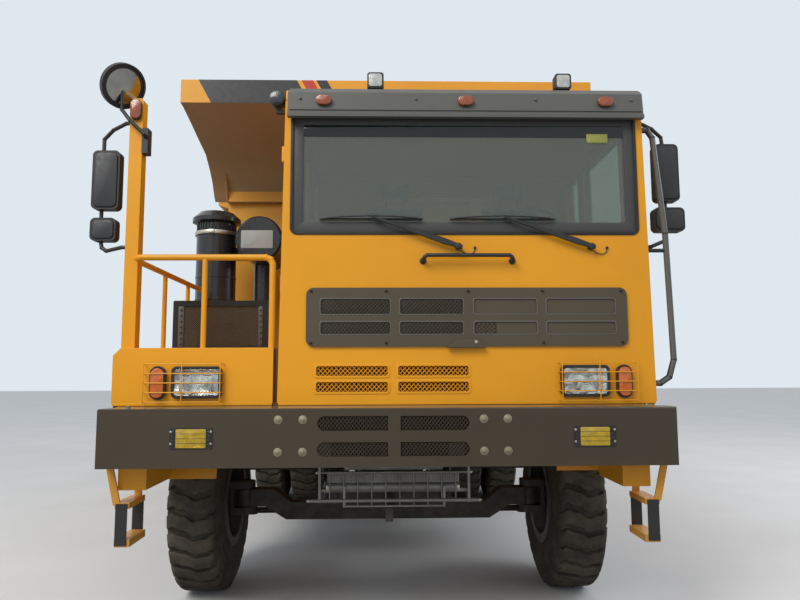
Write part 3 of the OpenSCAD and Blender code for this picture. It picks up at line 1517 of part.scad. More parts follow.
module hoist_rods() stand() color("#8b8984") hoist_frame() {
    translate([0, 0, 120]) cylinder(h = stage_z1s[2] - 125, d = stage_d(3));
    translate([0, 0, 120]) cylinder(h = hoist_len - 120, d = 2 * eye_half - 4);
    rod_x([-eye_half, eye_half], 0, hoist_len, eye_d);
    rod_x([-hoist_lug_x[1] - 17, hoist_lug_x[1] + 17], 0, hoist_len, hoist_pin_r * 2);
}

frame_rails();
cross_members();
rail_brackets();
deck_frames();
front_bumper();
front_meshes();
cab_shell();
cab_roof();
sun_visor();
grille_panel();
cab_glass();
seats();
dashboard();
wipers();
front_lamps();
small_lamps();
deck_right();
fender_left();
guard_rail();
mirrors();
radiator();
air_cleaners();
engine_block();
front_cooler();
side_tanks();
hanging_steps();
step_straps();
front_axle();
rear_axles();
springs();
propshafts();
door_left();
door_left_glass();
door_right();
door_right_glass();
knuckle_left();
knuckle_right();
tie_rod();
rim_front_left();
rim_front_right();
rims_mid_left();
rims_mid_right();
rims_rear_left();
rims_rear_right();
tyre_front_left();
tyre_front_right();
tyres_mid_left();
tyres_mid_right();
tyres_rear_left();
tyres_rear_right();
bed_body();
bed_canopy();
bed_beams();
bed_cross();
hoist_barrels();
hoist_stage_1();
hoist_stage_2();
hoist_rods();
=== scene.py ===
import math
import random
import bpy
from mathutils import Euler, Matrix, Vector


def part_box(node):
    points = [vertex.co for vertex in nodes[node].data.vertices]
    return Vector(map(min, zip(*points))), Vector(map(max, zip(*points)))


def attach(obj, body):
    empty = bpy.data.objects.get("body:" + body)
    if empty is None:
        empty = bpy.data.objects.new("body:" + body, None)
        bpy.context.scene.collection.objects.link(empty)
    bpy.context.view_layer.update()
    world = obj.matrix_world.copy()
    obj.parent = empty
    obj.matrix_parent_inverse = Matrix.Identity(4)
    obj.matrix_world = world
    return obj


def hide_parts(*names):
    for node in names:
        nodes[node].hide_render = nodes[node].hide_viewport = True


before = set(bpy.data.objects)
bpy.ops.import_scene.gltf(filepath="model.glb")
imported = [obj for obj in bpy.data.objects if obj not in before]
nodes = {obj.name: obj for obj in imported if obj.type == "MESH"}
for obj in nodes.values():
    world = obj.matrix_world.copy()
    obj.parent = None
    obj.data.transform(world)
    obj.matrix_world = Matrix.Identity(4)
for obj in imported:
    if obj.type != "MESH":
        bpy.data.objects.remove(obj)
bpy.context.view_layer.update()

bpy.ops.object.select_all(action="DESELECT")
random.seed(7)

# the truck's own lines, in metres: x across from its middle, s back from the bumper's face, z up
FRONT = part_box("front_bumper")[0].y
AXLE_Z = 0.685
FRONT_AXLE_S = 1.59
TWIN_AXLES = (("mid", 5.39), ("rear", 6.89))
FRONT_TRACK = 1.385
TWIN_TRACK = 1.26
TWIN_HALF_PITCH = 0.22
SIDES = (("left", 1), ("right", -1))

AHEAD = Vector((0, -1, 0))
BACK = Vector((0, 1, 0))
UP = Vector((0, 0, 1))
ACROSS = Vector((1, 0, 0))


def at(x, s, z):
    return Vector((x, FRONT + s, z))


def span(middle, half):
    """The range that reaches half to each side of the middle."""
    return middle - half, middle + half


def spans(middles, half):
    return [span(middle, half) for middle in middles]


def grown(ranges, margin):
    return [(low - margin, high + margin) for low, high in ranges]


# camera: its place in metres, its angles in degrees, its lens in millimetres
CAMERA_BACK = 3.98
CAMERA_SIDE = -0.04
CAMERA_HIGH = 1.66
CAMERA_PITCH = 6.1
CAMERA_YAW = 1.45
CAMERA_ROLL = -0.22
CAMERA_LENS = 30.6


def make_camera():
    data = bpy.data.cameras.new("camera")
    data.lens = CAMERA_LENS
    data.sensor_width = 36.0
    data.clip_end = 300.0
    camera = linked("camera", data)
    aim = Euler((math.radians(90 + CAMERA_PITCH), 0.0, math.radians(-CAMERA_YAW)))
    roll = Matrix.Rotation(math.radians(CAMERA_ROLL), 4, "Z")
    place = Matrix.Translation(at(CAMERA_SIDE, -CAMERA_BACK, CAMERA_HIGH))
    camera.matrix_world = place @ aim.to_matrix().to_4x4() @ roll
    bpy.context.scene.camera = camera


class Nodes:
    """A node tree under construction, with short ways to add and join nodes."""

    def __init__(self, tree):
        self.tree = tree

    def add(self, kind, **values):
        node = self.tree.nodes.new(kind)
        for key, value in values.items():
            if key in node.inputs:
                node.inputs[key].default_value = value
            else:
                setattr(node, key, value)
        return node

    def join(self, out, into):
        self.tree.links.new(out, into)

    def math(self, operation, a, b):
        node = self.add("ShaderNodeMath", operation=operation)
        self.join(a, node.inputs[0])
        self.join(b, node.inputs[1])
        return node.outputs[0]


class Finish(Nodes):
    """A material whose patterns lie on the object's own coordinates."""

    def __init__(self, name):
        self.material = bpy.data.materials.new(name)
        self.material.use_nodes = True
        super().__init__(self.material.node_tree)
        self.shader = self.tree.nodes["Principled BSDF"]
        self.object_place = self.add("ShaderNodeTexCoord").outputs["Object"]

    def pattern(self, kind, **values):
        """A texture node on the object's own coordinates."""
        node = self.add(kind, **values)
        self.join(self.object_place, node.inputs["Vector"])
        return node

    def noise(self, scale, detail=4.0, rough=0.55, stretch=None):
        node = self.pattern("ShaderNodeTexNoise", Scale=scale, Detail=detail, Roughness=rough)
        if stretch:
            mapping = self.pattern("ShaderNodeMapping", Scale=stretch)
            self.join(mapping.outputs["Vector"], node.inputs["Vector"])
        return node.outputs["Fac"]

    def ramp(self, source, low, high, out_low=0.0, out_high=1.0):
        node = self.add("ShaderNodeMapRange")
        self.join(source, node.inputs["Value"])
        for key, value in (("From Min", low), ("From Max", high), ("To Min", out_low), ("To Max", out_high)):
            node.inputs[key].default_value = value
        return node.outputs["Result"]

    def mix(self, share, one, other):
        node = self.add("ShaderNodeMix", data_type="RGBA")
        self.join(share, node.inputs[0])
        for socket, value in ((node.inputs[6], one), (node.inputs[7], other)):
            if isinstance(value, tuple):
                socket.default_value = (*value, 1.0)
            else:
                self.join(value, socket)
        return node.outputs[2]

    def z_of(self, vector):
        node = self.add("ShaderNodeSeparateXYZ")
        self.join(vector, node.inputs[0])
        return node.outputs["Z"]

    def height(self):
        return self.z_of(self.object_place)

    def upward(self):
        return self.z_of(self.add("ShaderNodeNewGeometry").outputs["Normal"])

    def colour(self, source):
        self.join(source, self.shader.inputs["Base Color"])

    def rough(self, source):
        self.join(source, self.shader.inputs["Roughness"])

    def set(self, **values):
        for key, value in values.items():
            socket = key.replace("_", " ").title().replace("Ior", "IOR")
            self.shader.inputs[socket].default_value = value

    def bump(self, source, strength, distance):
        node = self.add("ShaderNodeBump", Strength=strength, Distance=distance)
        self.join(source, node.inputs["Height"])
        self.join(node.outputs["Normal"], self.shader.inputs["Normal"])


DUST = (0.235, 0.195, 0.150)


def shaded(colour, factor, lift=0.0):
    return tuple(factor * c + lift for c in colour)


def painted(name, colour, rough, dust, dirt, coat, dirt_top=1.2, under=0.0):
    """Sprayed paint: tone drift, orange peel, dust on level faces, dust and painted shade on faces that look
    down, road dirt low down.
    """
    f = Finish(name)
    tone = f.mix(f.ramp(f.noise(1.3, 5), 0.35, 0.68), colour, shaded(colour, 0.90))
    grain = f.noise(9.0, 8, 0.7)
    settled = f.math("MULTIPLY", f.ramp(f.upward(), 0.35, 0.95, 0.0, dust), f.ramp(grain, 0.3, 0.7))
    low = f.ramp(f.height(), 0.25, dirt_top, dirt, 0.0)
    streaks = f.ramp(f.noise(5.0, 6, 0.65, (1.0, 1.0, 0.25)), 0.38, 0.66)
    share = f.math("MAXIMUM", settled, f.math("MULTIPLY", low, streaks))
    # dust and painted shade: faces that look down are mixed towards the dust colour, darker where shade falls
    if under:
        downward = f.ramp(f.upward(), -0.12, -0.45, 0.0, under)
        dust_and_shade_below = f.math("MULTIPLY", downward, f.ramp(grain, 0.1, 0.5, 0.8, 1.0))
        share = f.math("MAXIMUM", share, dust_and_shade_below)
    f.colour(f.mix(share, tone, DUST))
    peel = f.ramp(f.noise(22.0, 3), 0.3, 0.7, rough - 0.05, rough + 0.08)
    f.rough(f.math("MAXIMUM", peel, f.ramp(share, 0.0, 1.0, 0.0, 0.85)))
    f.set(coat_weight=coat, coat_roughness=0.12, specular_ior_level=0.32)
    f.bump(f.noise(260.0, 2), 0.05, 0.0006)
    return f.material


def cast_metal(name, colour, rough, metallic, grain, bump, dirt):
    """Cast or rolled metal with a grainy skin and grime."""
    f = Finish(name)
    grime = f.ramp(f.noise(6.0, 8, 0.7), 0.4, 0.7, 0.0, dirt)
    spots = f.mix(f.ramp(f.noise(3.0, 6), 0.3, 0.7), colour, shaded(colour, 0.7))
    f.colour(f.mix(grime, spots, shaded(DUST, 0.45)))
    f.rough(f.ramp(f.noise(14.0, 5), 0.3, 0.7, rough - 0.12, rough + 0.15))
    f.set(metallic=metallic)
    f.bump(f.noise(grain, 6, 0.65), bump, 0.0015)
    return f.material


def bright_metal(name, colour, rough):
    """Polished or plated metal with fine brushing."""
    f = Finish(name)
    f.colour(f.mix(f.ramp(f.noise(12.0, 5), 0.35, 0.7), colour, shaded(colour, 0.75)))
    f.rough(f.ramp(f.noise(60.0, 3, 0.5, (0.1, 1.0, 1.0)), 0.3, 0.7, rough - 0.06, rough + 0.1))
    f.set(metallic=1.0)
    f.bump(f.noise(400.0, 2), 0.06, 0.0004)
    return f.material


def rubber(name, colour, dusty, rough):
    """Rubber with dust caught in its low places."""
    f = Finish(name)
    share = f.ramp(f.noise(7.0, 9, 0.72), 0.36, 0.68, 0.1, 0.85)
    low = f.ramp(f.height(), 0.0, 1.5, 1.0, 0.55)
    f.colour(f.mix(f.math("MULTIPLY", share, low), colour, dusty))
    f.rough(f.ramp(f.noise(18.0, 4), 0.3, 0.7, rough - 0.1, rough + 0.1))
    f.bump(f.noise(120.0, 6, 0.7), 0.3, 0.0014)
    return f.material


def plastic(name, colour, rough):
    """Moulded plastic with a fine leathery grain."""
    f = Finish(name)
    f.colour(f.mix(f.ramp(f.noise(5.0, 6), 0.35, 0.7), colour, shaded(colour, 1.25, 0.004)))
    f.rough(f.ramp(f.noise(30.0, 3), 0.3, 0.7, rough - 0.06, rough + 0.1))
    f.bump(f.pattern("ShaderNodeTexVoronoi", Scale=420.0).outputs["Distance"], 0.12, 0.0006)
    return f.material


def window(name, tint, rough=0.03):
    """Tinted window glass with a faint film of dust."""
    f = Finish(name)
    f.colour(f.mix(f.ramp(f.noise(2.4, 7, 0.7), 0.45, 0.75, 0.0, 0.25), tint, shaded(tint, 0.8)))
    f.rough(f.ramp(f.noise(5.0, 6), 0.35, 0.75, rough, rough + 0.05))
    f.set(transmission_weight=0.86, ior=1.46, specular_ior_level=0.6)
    return f.material


def lens(name, tint, clear=0.25, rough=0.08, ribbing=0.35):
    """Moulded lamp lens with fine ribs."""
    f = Finish(name)
    f.colour(f.mix(f.ramp(f.noise(30.0, 3), 0.35, 0.65), tint, shaded(tint, 0.72)))
    f.rough(f.ramp(f.noise(80.0, 2), 0.3, 0.7, rough, 2.5 * rough))
    f.set(transmission_weight=clear, ior=1.5, coat_weight=0.6, coat_roughness=0.05)
    ribs = f.pattern("ShaderNodeTexWave", Scale=55.0, wave_type="BANDS", bands_direction="X")
    f.bump(ribs.outputs["Fac"], ribbing, 0.0012)
    return f.material


def cloth(name, colour):
    """Woven seat cloth."""
    f = Finish(name)
    warp, weft = (f.pattern("ShaderNodeTexWave", Scale=240.0, wave_type="BANDS", bands_direction=way)
                  for way in "XZ")
    weave = f.math("MAXIMUM", warp.outputs["Fac"], weft.outputs["Fac"])
    f.colour(f.mix(weave, shaded(colour, 0.55), colour))
    f.set(roughness=0.9, sheen_weight=0.3, sheen_roughness=0.5)
    f.bump(weave, 0.4, 0.001)
    return f.material


YELLOW = (0.820, 0.345, 0.008)
BODY_YELLOW = (0.760, 0.345, 0.030)
FINISH_ROWS = {
    painted: (
        # finish, the record's slot, colour, roughness, dust, dirt, coat, top of the dirt, dust and painted
        # shade underneath
        ("cab_yellow", "yellow_paint", YELLOW, 0.36, 0.35, 0.5, 0.10),
        ("rail_yellow", "rail_paint", YELLOW, 0.36, 0.35, 0.3, 0.10),
        # the bed's and, more so, the canopy's undersides get dust and painted shade
        ("body_yellow", "body_paint", BODY_YELLOW, 0.46, 0.6, 0.5, 0.05, 2.2, 0.45),
        ("canopy_yellow", "body_paint", BODY_YELLOW, 0.46, 0.6, 0.5, 0.05, 1.2, 0.72),
        ("step_yellow", "step_paint", (0.74, 0.33, 0.035), 0.45, 0.35, 0.75, 0.10),
        ("bumper_grey", "dark_paint", (0.060, 0.046, 0.028), 0.42, 0.5, 0.35, 0.10),
        ("visor_grey", "dark_paint", (0.112, 0.110, 0.100), 0.42, 0.4, 0.2, 0.10),
        ("grille_grey", "dark_paint", (0.088, 0.068, 0.042), 0.42, 0.4, 0.2, 0.10),
        ("border_grey", "dark_paint", (0.066, 0.064, 0.064), 0.5, 0.1, 0.5, 0.0),
        ("rod_grey", "dark_paint", (0.115, 0.110, 0.100), 0.38, 0.2, 0.5, 0.2),
        # painted highlight: paler than the bumper's own grey, with real gloss, for the bumper's sloping top
        ("fold_grey", "dark_paint", (0.130, 0.105, 0.070), 0.16, 0.0, 0.5, 0.8),
        ("stripe_dark", "dark_paint", (0.030, 0.030, 0.034), 0.4, 0.1, 0.5, 0.10),
        ("stripe_red", "dark_paint", (0.50, 0.040, 0.020), 0.4, 0.1, 0.5, 0.10),
        ("frame_black", "frame_paint", (0.030, 0.027, 0.024), 0.5, 0.7, 0.8, 0.0),
        ("tank_black", "tank_paint", (0.040, 0.037, 0.034), 0.42, 0.6, 0.7, 0.10),
        ("cleaner_black", "cleaner_paint", (0.020, 0.020, 0.022), 0.30, 0.25, 0.5, 0.4),
        ("rim_grey", "rim_paint", (0.070, 0.066, 0.062), 0.45, 0.5, 0.7, 0.10),
        ("mesh_black", "mesh_metal", (0.022, 0.020, 0.018), 0.6, 0.3, 0.5, 0.0),
        # painted light: a paler grey that brightens the radiator screen where the deck's edge shades it
        ("screen_grey", "mesh_metal", (0.190, 0.155, 0.110), 0.5, 0.4, 0.2, 0.0),
        # painted shade: the cab's yellow as it looks in deep shade, for the sheets that close the gaps
        ("gap_brown", "black_plastic", (0.100, 0.042, 0.006), 0.6, 0.0, 0.5, 0.0),
    ),
    cast_metal: (
        # finish, slot, colour, roughness, metallic, grain, bump, grime
        ("cooler_alloy", "cooler_alloy", (0.30, 0.29, 0.27), 0.45, 0.6, 90.0, 0.1, 0.35),
        ("engine_iron", "engine_iron", (0.060, 0.058, 0.055), 0.6, 0.0, 70.0, 0.25, 0.55),
        ("axle_iron", "axle_iron", (0.038, 0.034, 0.030), 0.65, 0.0, 70.0, 0.25, 0.55),
        ("spring_steel", "spring_steel", (0.050, 0.045, 0.040), 0.55, 0.3, 45.0, 0.15, 0.55),
    ),
    bright_metal: (
        # finish, slot, colour, roughness
        ("chrome", "chrome_steel", (0.72, 0.72, 0.72), 0.14),
        ("zinc", "chrome_steel", (0.62, 0.58, 0.48), 0.38),
        ("dull_zinc", "chrome_steel", (0.36, 0.32, 0.22), 0.50),
        ("mirror_glass", "chrome_steel", (0.50, 0.50, 0.48), 0.08),
        ("lamp_mirror", "chrome_steel", (0.86, 0.86, 0.83), 0.07),
        ("yellow_mirror", "chrome_steel", (0.95, 0.86, 0.45), 0.16),
    ),
    rubber: (
        # finish, slot, colour, the dusty places' colour, roughness
        ("tyre_rubber", "tyre", (0.022, 0.020, 0.016), (0.135, 0.112, 0.078), 0.82),
        ("seal_rubber", "black_plastic", (0.012, 0.012, 0.012), (0.022, 0.021, 0.020), 0.6),
    ),
    plastic: (
        # finish, slot, colour, roughness
        ("black_plastic", "black_plastic", (0.016, 0.016, 0.016), 0.45),
        ("grey_plastic", "black_plastic", (0.030, 0.030, 0.033), 0.5),
        ("plate_grey", "lamp_housing", (0.30, 0.31, 0.30), 0.5),
        ("sticker_pale", "lamp_housing", (0.27, 0.27, 0.055), 0.4),
    ),
    window: (
        # finish, slot, tint
        ("window_glass", "tinted_glass", (0.46, 0.52, 0.47)),
        # painted reflection: a near-black glass for the visor's underside seen in the windscreen
        ("band_glass", "tinted_glass", (0.055, 0.062, 0.064)),
    ),
    lens: (
        # finish, slot, tint, clearness, roughness, ribbing
        ("clear_lens", "lamp_glass", (0.78, 0.78, 0.74)),
        ("head_lens", "lamp_glass", (0.97, 0.97, 0.94), 0.98, 0.02, 0.10),
        ("dark_lens", "lamp_glass", (0.030, 0.034, 0.050)),
        ("orange_lens", "lamp_glass", (0.88, 0.19, 0.015)),
        ("amber_lens", "lamp_glass", (0.45, 0.10, 0.025)),
        ("yellow_lens", "lamp_glass", (0.98, 0.66, 0.03), 0.50, 0.05, 0.12),
        ("red_lens", "lamp_glass", (0.45, 0.012, 0.010)),
    ),
    cloth: (("seat_cloth", "seat_fabric", (0.055, 0.055, 0.062)),),
}
FINISHES, SLOTS = {}, {}
for maker, rows in FINISH_ROWS.items():
    for name, slot, colour, *values in rows:
        FINISHES[name] = maker(name, colour, *values)
        SLOTS[name] = slot

NODE_FINISH = {
    "cab_yellow": "cab_shell cab_roof deck_right fender_left door_left door_right",
    "canopy_yellow": "bed_canopy",
    "body_yellow": "bed_body bed_beams bed_cross",
    "rail_yellow": "guard_rail",
    "step_yellow": "hanging_steps",
    "bumper_grey": "front_bumper",
    "visor_grey": "sun_visor",
    "grille_grey": "grille_panel",
    "frame_black": "frame_rails cross_members rail_brackets deck_frames hoist_barrels",
    "tank_black": "side_tanks",
    "cleaner_black": "air_cleaners",
    "mesh_black": "front_meshes radiator",
    "rim_grey": "rim_front_left rim_front_right rims_mid_left rims_mid_right rims_rear_left rims_rear_right",
    "window_glass": "cab_glass door_left_glass door_right_glass",
    "black_plastic": "dashboard wipers small_lamps front_lamps mirrors step_straps",
    "cooler_alloy": "front_cooler",
    "engine_iron": "engine_block",
    "axle_iron": "front_axle rear_axles knuckle_left knuckle_right",
    "spring_steel": "springs propshafts tie_rod",
    "chrome": "hoist_stage_1 hoist_stage_2 hoist_rods",
    "tyre_rubber": "tyre_front_left tyre_front_right tyres_mid_left tyres_mid_right "
                   "tyres_rear_left tyres_rear_right",
    "seat_cloth": "seats",
}


FINISH_OF = {name: finish for finish, names in NODE_FINISH.items() for name in names.split()}


def dress_nodes():
    for name, finish in FINISH_OF.items():
        for slot in nodes[name].material_slots:
            slot.material = FINISHES[finish]


# the maker's hand tools
def linked(name, data):
    """A new object in the scene."""
    obj = bpy.data.objects.new(name, data)
    bpy.context.scene.collection.objects.link(obj)
    return obj


def clear_selection():
    bpy.ops.object.select_all(action="DESELECT")


def take(obj):
    clear_selection()
    obj.select_set(True)
    bpy.context.view_layer.objects.active = obj


def apply_place():
    bpy.ops.object.transform_apply(location=True, rotation=True, scale=True)


def edit(obj):
    """Opens a mesh in edit mode with all of it selected."""
    take(obj)
    bpy.ops.object.mode_set(mode="EDIT")
    bpy.ops.mesh.select_all(action="SELECT")


def leave():
    bpy.ops.object.mode_set(mode="OBJECT")


def turn_outward():
    """Lets all faces point outwards, in edit mode."""
    bpy.ops.mesh.select_all(action="SELECT")
    bpy.ops.mesh.normals_make_consistent(inside=False)


def pick_edges(obj, test):
    """Selects the edges whose direction and middle pass the test, and stays in edit mode."""
    take(obj)
    bpy.ops.object.mode_set(mode="EDIT")
    bpy.ops.mesh.select_mode(type="EDGE")
    bpy.ops.mesh.select_all(action="DESELECT")
    bpy.ops.object.mode_set(mode="OBJECT")
    mesh = obj.data
    for edge in mesh.edges:
        a, b = (mesh.vertices[i].co for i in edge.vertices)
        edge.select = test((b - a).normalized(), (a + b) / 2)
    bpy.ops.object.mode_set(mode="EDIT")


def round_edges(obj, test, offset, segments=2):
    pick_edges(obj, test)
    bpy.ops.mesh.bevel(offset=offset, segments=segments, affect="EDGES")
    leave()


def finish_modifier(obj, kind, **values):
    take(obj)
    modifier = obj.modifiers.new(kind.lower(), kind)
    for key, value in values.items():
        setattr(modifier, key, value)
    bpy.ops.object.modifier_apply(modifier=modifier.name)


def soften_corners(obj, width, segments=2, **limit):
    finish_modifier(obj, "BEVEL", width=width, segments=segments, limit_method="ANGLE", **limit)


def joined(objects):
    clear_selection()
    for obj in objects:
        obj.select_set(True)
    bpy.context.view_layer.objects.active = objects[0]
    if len(objects) > 1:
        bpy.ops.object.join()
    return bpy.context.object


def copied(obj, move):
    """A copy with its own mesh, moved along."""
    take(obj)
    bpy.ops.object.duplicate(linked=False)
    new = bpy.context.object
    new.location = new.location + Vector(move)
    apply_place()
    return new


def settle(parts, name, finish, body="chassis", angle=35.0):
    """Joins the parts to one piece, applies its place, gives it its finish and lets it ride."""
    obj = joined(parts) if isinstance(parts, list) else parts
    take(obj)
    apply_place()
    bpy.ops.object.shade_smooth_by_angle(angle=math.radians(angle))
    obj.name = name
    obj.data.name = name
    obj.data.materials.clear()
    obj.data.materials.append(FINISHES[finish])
    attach(obj, body)
    return obj


def start_block(x, s, z):
    clear_selection()
    bpy.ops.mesh.primitive_cube_add(size=1.0, location=at(sum(x) / 2, sum(s) / 2, sum(z) / 2))
    obj = bpy.context.object
    obj.scale = (x[1] - x[0], s[1] - s[0], z[1] - z[0])
    apply_place()
    return obj


def block(x, s, z, soften=0.003):
    """A block with softened edges."""
    obj = start_block(x, s, z)
    round_edges(obj, lambda way, middle: True, soften)
    return obj


def corner_block(x, s, z, corner):
    obj = start_block(x, s, z)
    round_edges(obj, lambda way, middle: abs(way.y) > 0.9, corner, 6)
    return obj


def rounded_plate(x, s, z, corner, soften=0.002):
    """A plate that faces the front, with round corners."""
    obj = corner_block(x, s, z, corner)
    round_edges(obj, lambda way, middle: abs(way.y) < 0.1, soften)
    return obj


def frame_plate(x, s, z, corner, border, soften=0.002):
    """A rounded ring that faces the front, such as a window seal."""
    obj = corner_block(x, s, z, corner)
    inside = [(low + border, high - border) for low, high in (x, z)]
    opening = corner_block(inside[0], (s[0] - 0.01, s[1] + 0.01), inside[1], max(corner - border, 0.012))
    finish_modifier(obj, "BOOLEAN", operation="DIFFERENCE", solver="EXACT", object=opening)
    bpy.data.objects.remove(opening)
    soften_corners(obj, soften)
    return obj


def rod(start, end, radius, sides=20, soften=0.0015):
    """A round bar between two points, with softened rims."""
    clear_selection()
    way = end - start
    bpy.ops.mesh.primitive_cylinder_add(
        vertices=sides, radius=radius, depth=way.length, location=(start + end) / 2,
        rotation=way.to_track_quat("Z", "Y").to_euler())
    obj = bpy.context.object
    soften_corners(obj, min(soften, radius * 0.3))
    return obj


def turned(profile, centre, axis, steps=48):
    """A profile of (distance along the axis, radius) spun round an axis."""
    clear_selection()
    mesh = bpy.data.meshes.new("profile")
    side = UP if abs(axis.z) < 0.9 else ACROSS
    side = (side - axis * side.dot(axis)).normalized()
    mesh.from_pydata([centre + axis * a + side * r for a, r in profile],
                     [(i, i + 1) for i in range(len(profile) - 1)], [])
    obj = linked("profile", mesh)
    edit(obj)
    bpy.ops.mesh.spin(steps=steps, angle=math.tau, center=centre, axis=axis)
    bpy.ops.mesh.select_all(action="SELECT")
    bpy.ops.mesh.remove_doubles(threshold=0.00005)
    turn_outward()
    leave()
    return obj


def bent_tube(points, radius, closed=False, sides=3):
    """A bent wire or tube through the given points."""
    clear_selection()
    curve = bpy.data.curves.new("tube", "CURVE")
    curve.dimensions = "3D"
    curve.bevel_depth = radius
    curve.bevel_resolution = sides
    curve.use_fill_caps = True
    line = curve.splines.new("POLY")
    line.points.add(len(points) - 1)
    for point, place in zip(line.points, points):
        point.co = (*place, 1.0)
    line.use_cyclic_u = closed
    take(linked("tube", curve))
    bpy.ops.object.convert(target="MESH")
    return bpy.context.object


def sheet_piece(outline, thickness, way, soften=None):
    """A flat piece from its corners, given a thickness along way."""
    clear_selection()
    mesh = bpy.data.meshes.new("outline")
    mesh.from_pydata(outline, [], [tuple(range(len(outline)))])
    obj = linked("outline", mesh)
    edit(obj)
    bpy.ops.mesh.extrude_region_move(TRANSFORM_OT_translate={"value": tuple(way * thickness)})
    turn_outward()
    leave()
    soften_corners(obj, soften or thickness * 0.3, 1)
    return obj


# pressed and welded sheet metal: the CAD solids' own shapes with softened edges
SOFTENED = {
    # node: width of the softened edge
    "cab_shell": 0.005, "cab_roof": 0.012, "sun_visor": 0.006, "grille_panel": 0.0025, "deck_right": 0.004,
    "fender_left": 0.004, "hanging_steps": 0.002, "side_tanks": 0.006, "frame_rails": 0.005,
    "door_left": 0.004, "door_right": 0.004, "bed_body": 0.005, "bed_canopy": 0.006, "bed_cross": 0.004,
}
CORNER_LIMIT = math.radians(32)
SKIN_ANGLE = 40
# the bumper's face stands back by this much, so that bolts and lamps stay inside the CAD's box
BUMPER_BACK = 0.008
FOLD_Z = 1.450
FOLD_R = 0.010


def sheet_copy(name):
    """A copy of a CAD solid as clean faces, ready to be worked on."""
    take(nodes[name])
    bpy.ops.object.duplicate(linked=False)
    obj = bpy.context.object
    edit(obj)
    bpy.ops.mesh.remove_doubles(threshold=0.00002)
    bpy.ops.mesh.dissolve_limited(angle_limit=math.radians(0.5))
    leave()
    return obj


def body_of(node):
    """The body that a node's skin rides on."""
    if node.startswith("bed_"):
        return "bed"
    return node if node.startswith("door_") else "chassis"


def fit_skin(obj, name, width):
    soften_corners(obj, width, angle_limit=CORNER_LIMIT)
    settle(obj, name + "_skin", FINISH_OF[name], body_of(name), SKIN_ANGLE)
    finish_modifier(obj, "WEIGHTED_NORMAL", mode="FACE_AREA", keep_sharp=True)
    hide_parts(name)


def fit_sheet_metal():
    for name, width in SOFTENED.items():
        fit_skin(sheet_copy(name), name, width)
    bumper = sheet_copy("front_bumper")
    face = FRONT + 0.001
    for vertex in bumper.data.vertices:
        if vertex.co.y < face:
            vertex.co.y += BUMPER_BACK
    set_back = face + BUMPER_BACK
    round_edges(bumper, lambda way, middle: abs(way.x) > 0.98 and middle.y < set_back and middle.z > FOLD_Z,
                FOLD_R, 3)
    fit_skin(bumper, "front_bumper", 0.0025)


# seams above the bumper: its sloping top in a paler grey as painted highlight, the folded lower lips, and
# dark brown sheets of painted shade in the gaps between cab and deck and behind the lips
LEDGE_XS = (-1.600, 1.572)
LEDGE_SECTION = ((0.017, 1.4555), (0.098, 1.4690), (0.098, 1.4555))
LIP_XS = ((-0.661, 1.597), (-1.634, -0.697))
# sheets of painted shade: one upright between cab and deck, one level behind the lower lips
UPRIGHT_GAP_SHADE = ((-0.715, -0.645), (0.1195, 0.1260), (1.4870, 1.8050))
LEVEL_GAP_SHADE = ((-1.630, 1.590), (0.1065, 0.1130), (1.4600, 1.4880))


def fit_seams():
    x0, x1 = LEDGE_XS
    ledge = sheet_piece([at(x0, s, z) for s, z in LEDGE_SECTION], x1 - x0, ACROSS, 0.0006)
    # painted highlight: the sloping top is paler than the bumper's face
    settle(ledge, "bumper_ledge", "fold_grey")
    lips = [block(x, (0.1003, 0.1060), (1.4708, 1.4880), 0.0015) for x in LIP_XS]
    settle(lips, "lower_lips", "cab_yellow")
    # painted shade: dark brown sheets where the gaps would otherwise show through
    settle([block(*seal, 0.002) for seal in (UPRIGHT_GAP_SHADE, LEVEL_GAP_SHADE)], "cab_gap_shade_sheets", "gap_brown")


# tyres: a spun carcass with wavy cross lugs, replacing the plain solids
TYRE_R = 0.6845
HALF_PROFILE = [
    # x from the tyre's middle, radius
    (-0.150, 0.322), (-0.164, 0.330), (-0.170, 0.352), (-0.165, 0.376), (-0.172, 0.400), (-0.180, 0.440),
    (-0.184, 0.490), (-0.184, 0.500), (-0.181, 0.504), (-0.181, 0.530), (-0.184, 0.534), (-0.182, 0.570),
    (-0.176, 0.600), (-0.168, 0.622), (-0.160, 0.640), (-0.140, 0.649), (-0.070, 0.653),
]
TYRE_PROFILE = HALF_PROFILE + [(0.0, 0.654)] + [(-x, r) for x, r in reversed(HALF_PROFILE)]
TYRE_STEPS = 96
LUGS = 30
LUG_SHARE = 0.68
LUG_COLUMNS = 18
LUG_DEPTH = 0.042
LUG_EDGE = 0.004
TREAD_WIDTH = 0.350
SHOULDER_X = 0.150
CROWN_DROP = 0.004
SHOULDER_SLOPE = 1.3
SHOULDER_CURVE = 34.0
# a lug's line across the tread: degrees of swing round the axle, length along x, shift as a share of it
LUG_WAVES = ((2.3, 0.32, 0.10), (0.6, 0.10, 0.0))


def lug_outside(x):
    """The lugs' radius: nearly level across the tread, then falling away over the shoulders."""
    over = max(0.0, abs(x) - SHOULDER_X)
    crown = CROWN_DROP * (abs(x) / SHOULDER_X) ** 4
    return TYRE_R - crown - SHOULDER_SLOPE * over - SHOULDER_CURVE * over * over


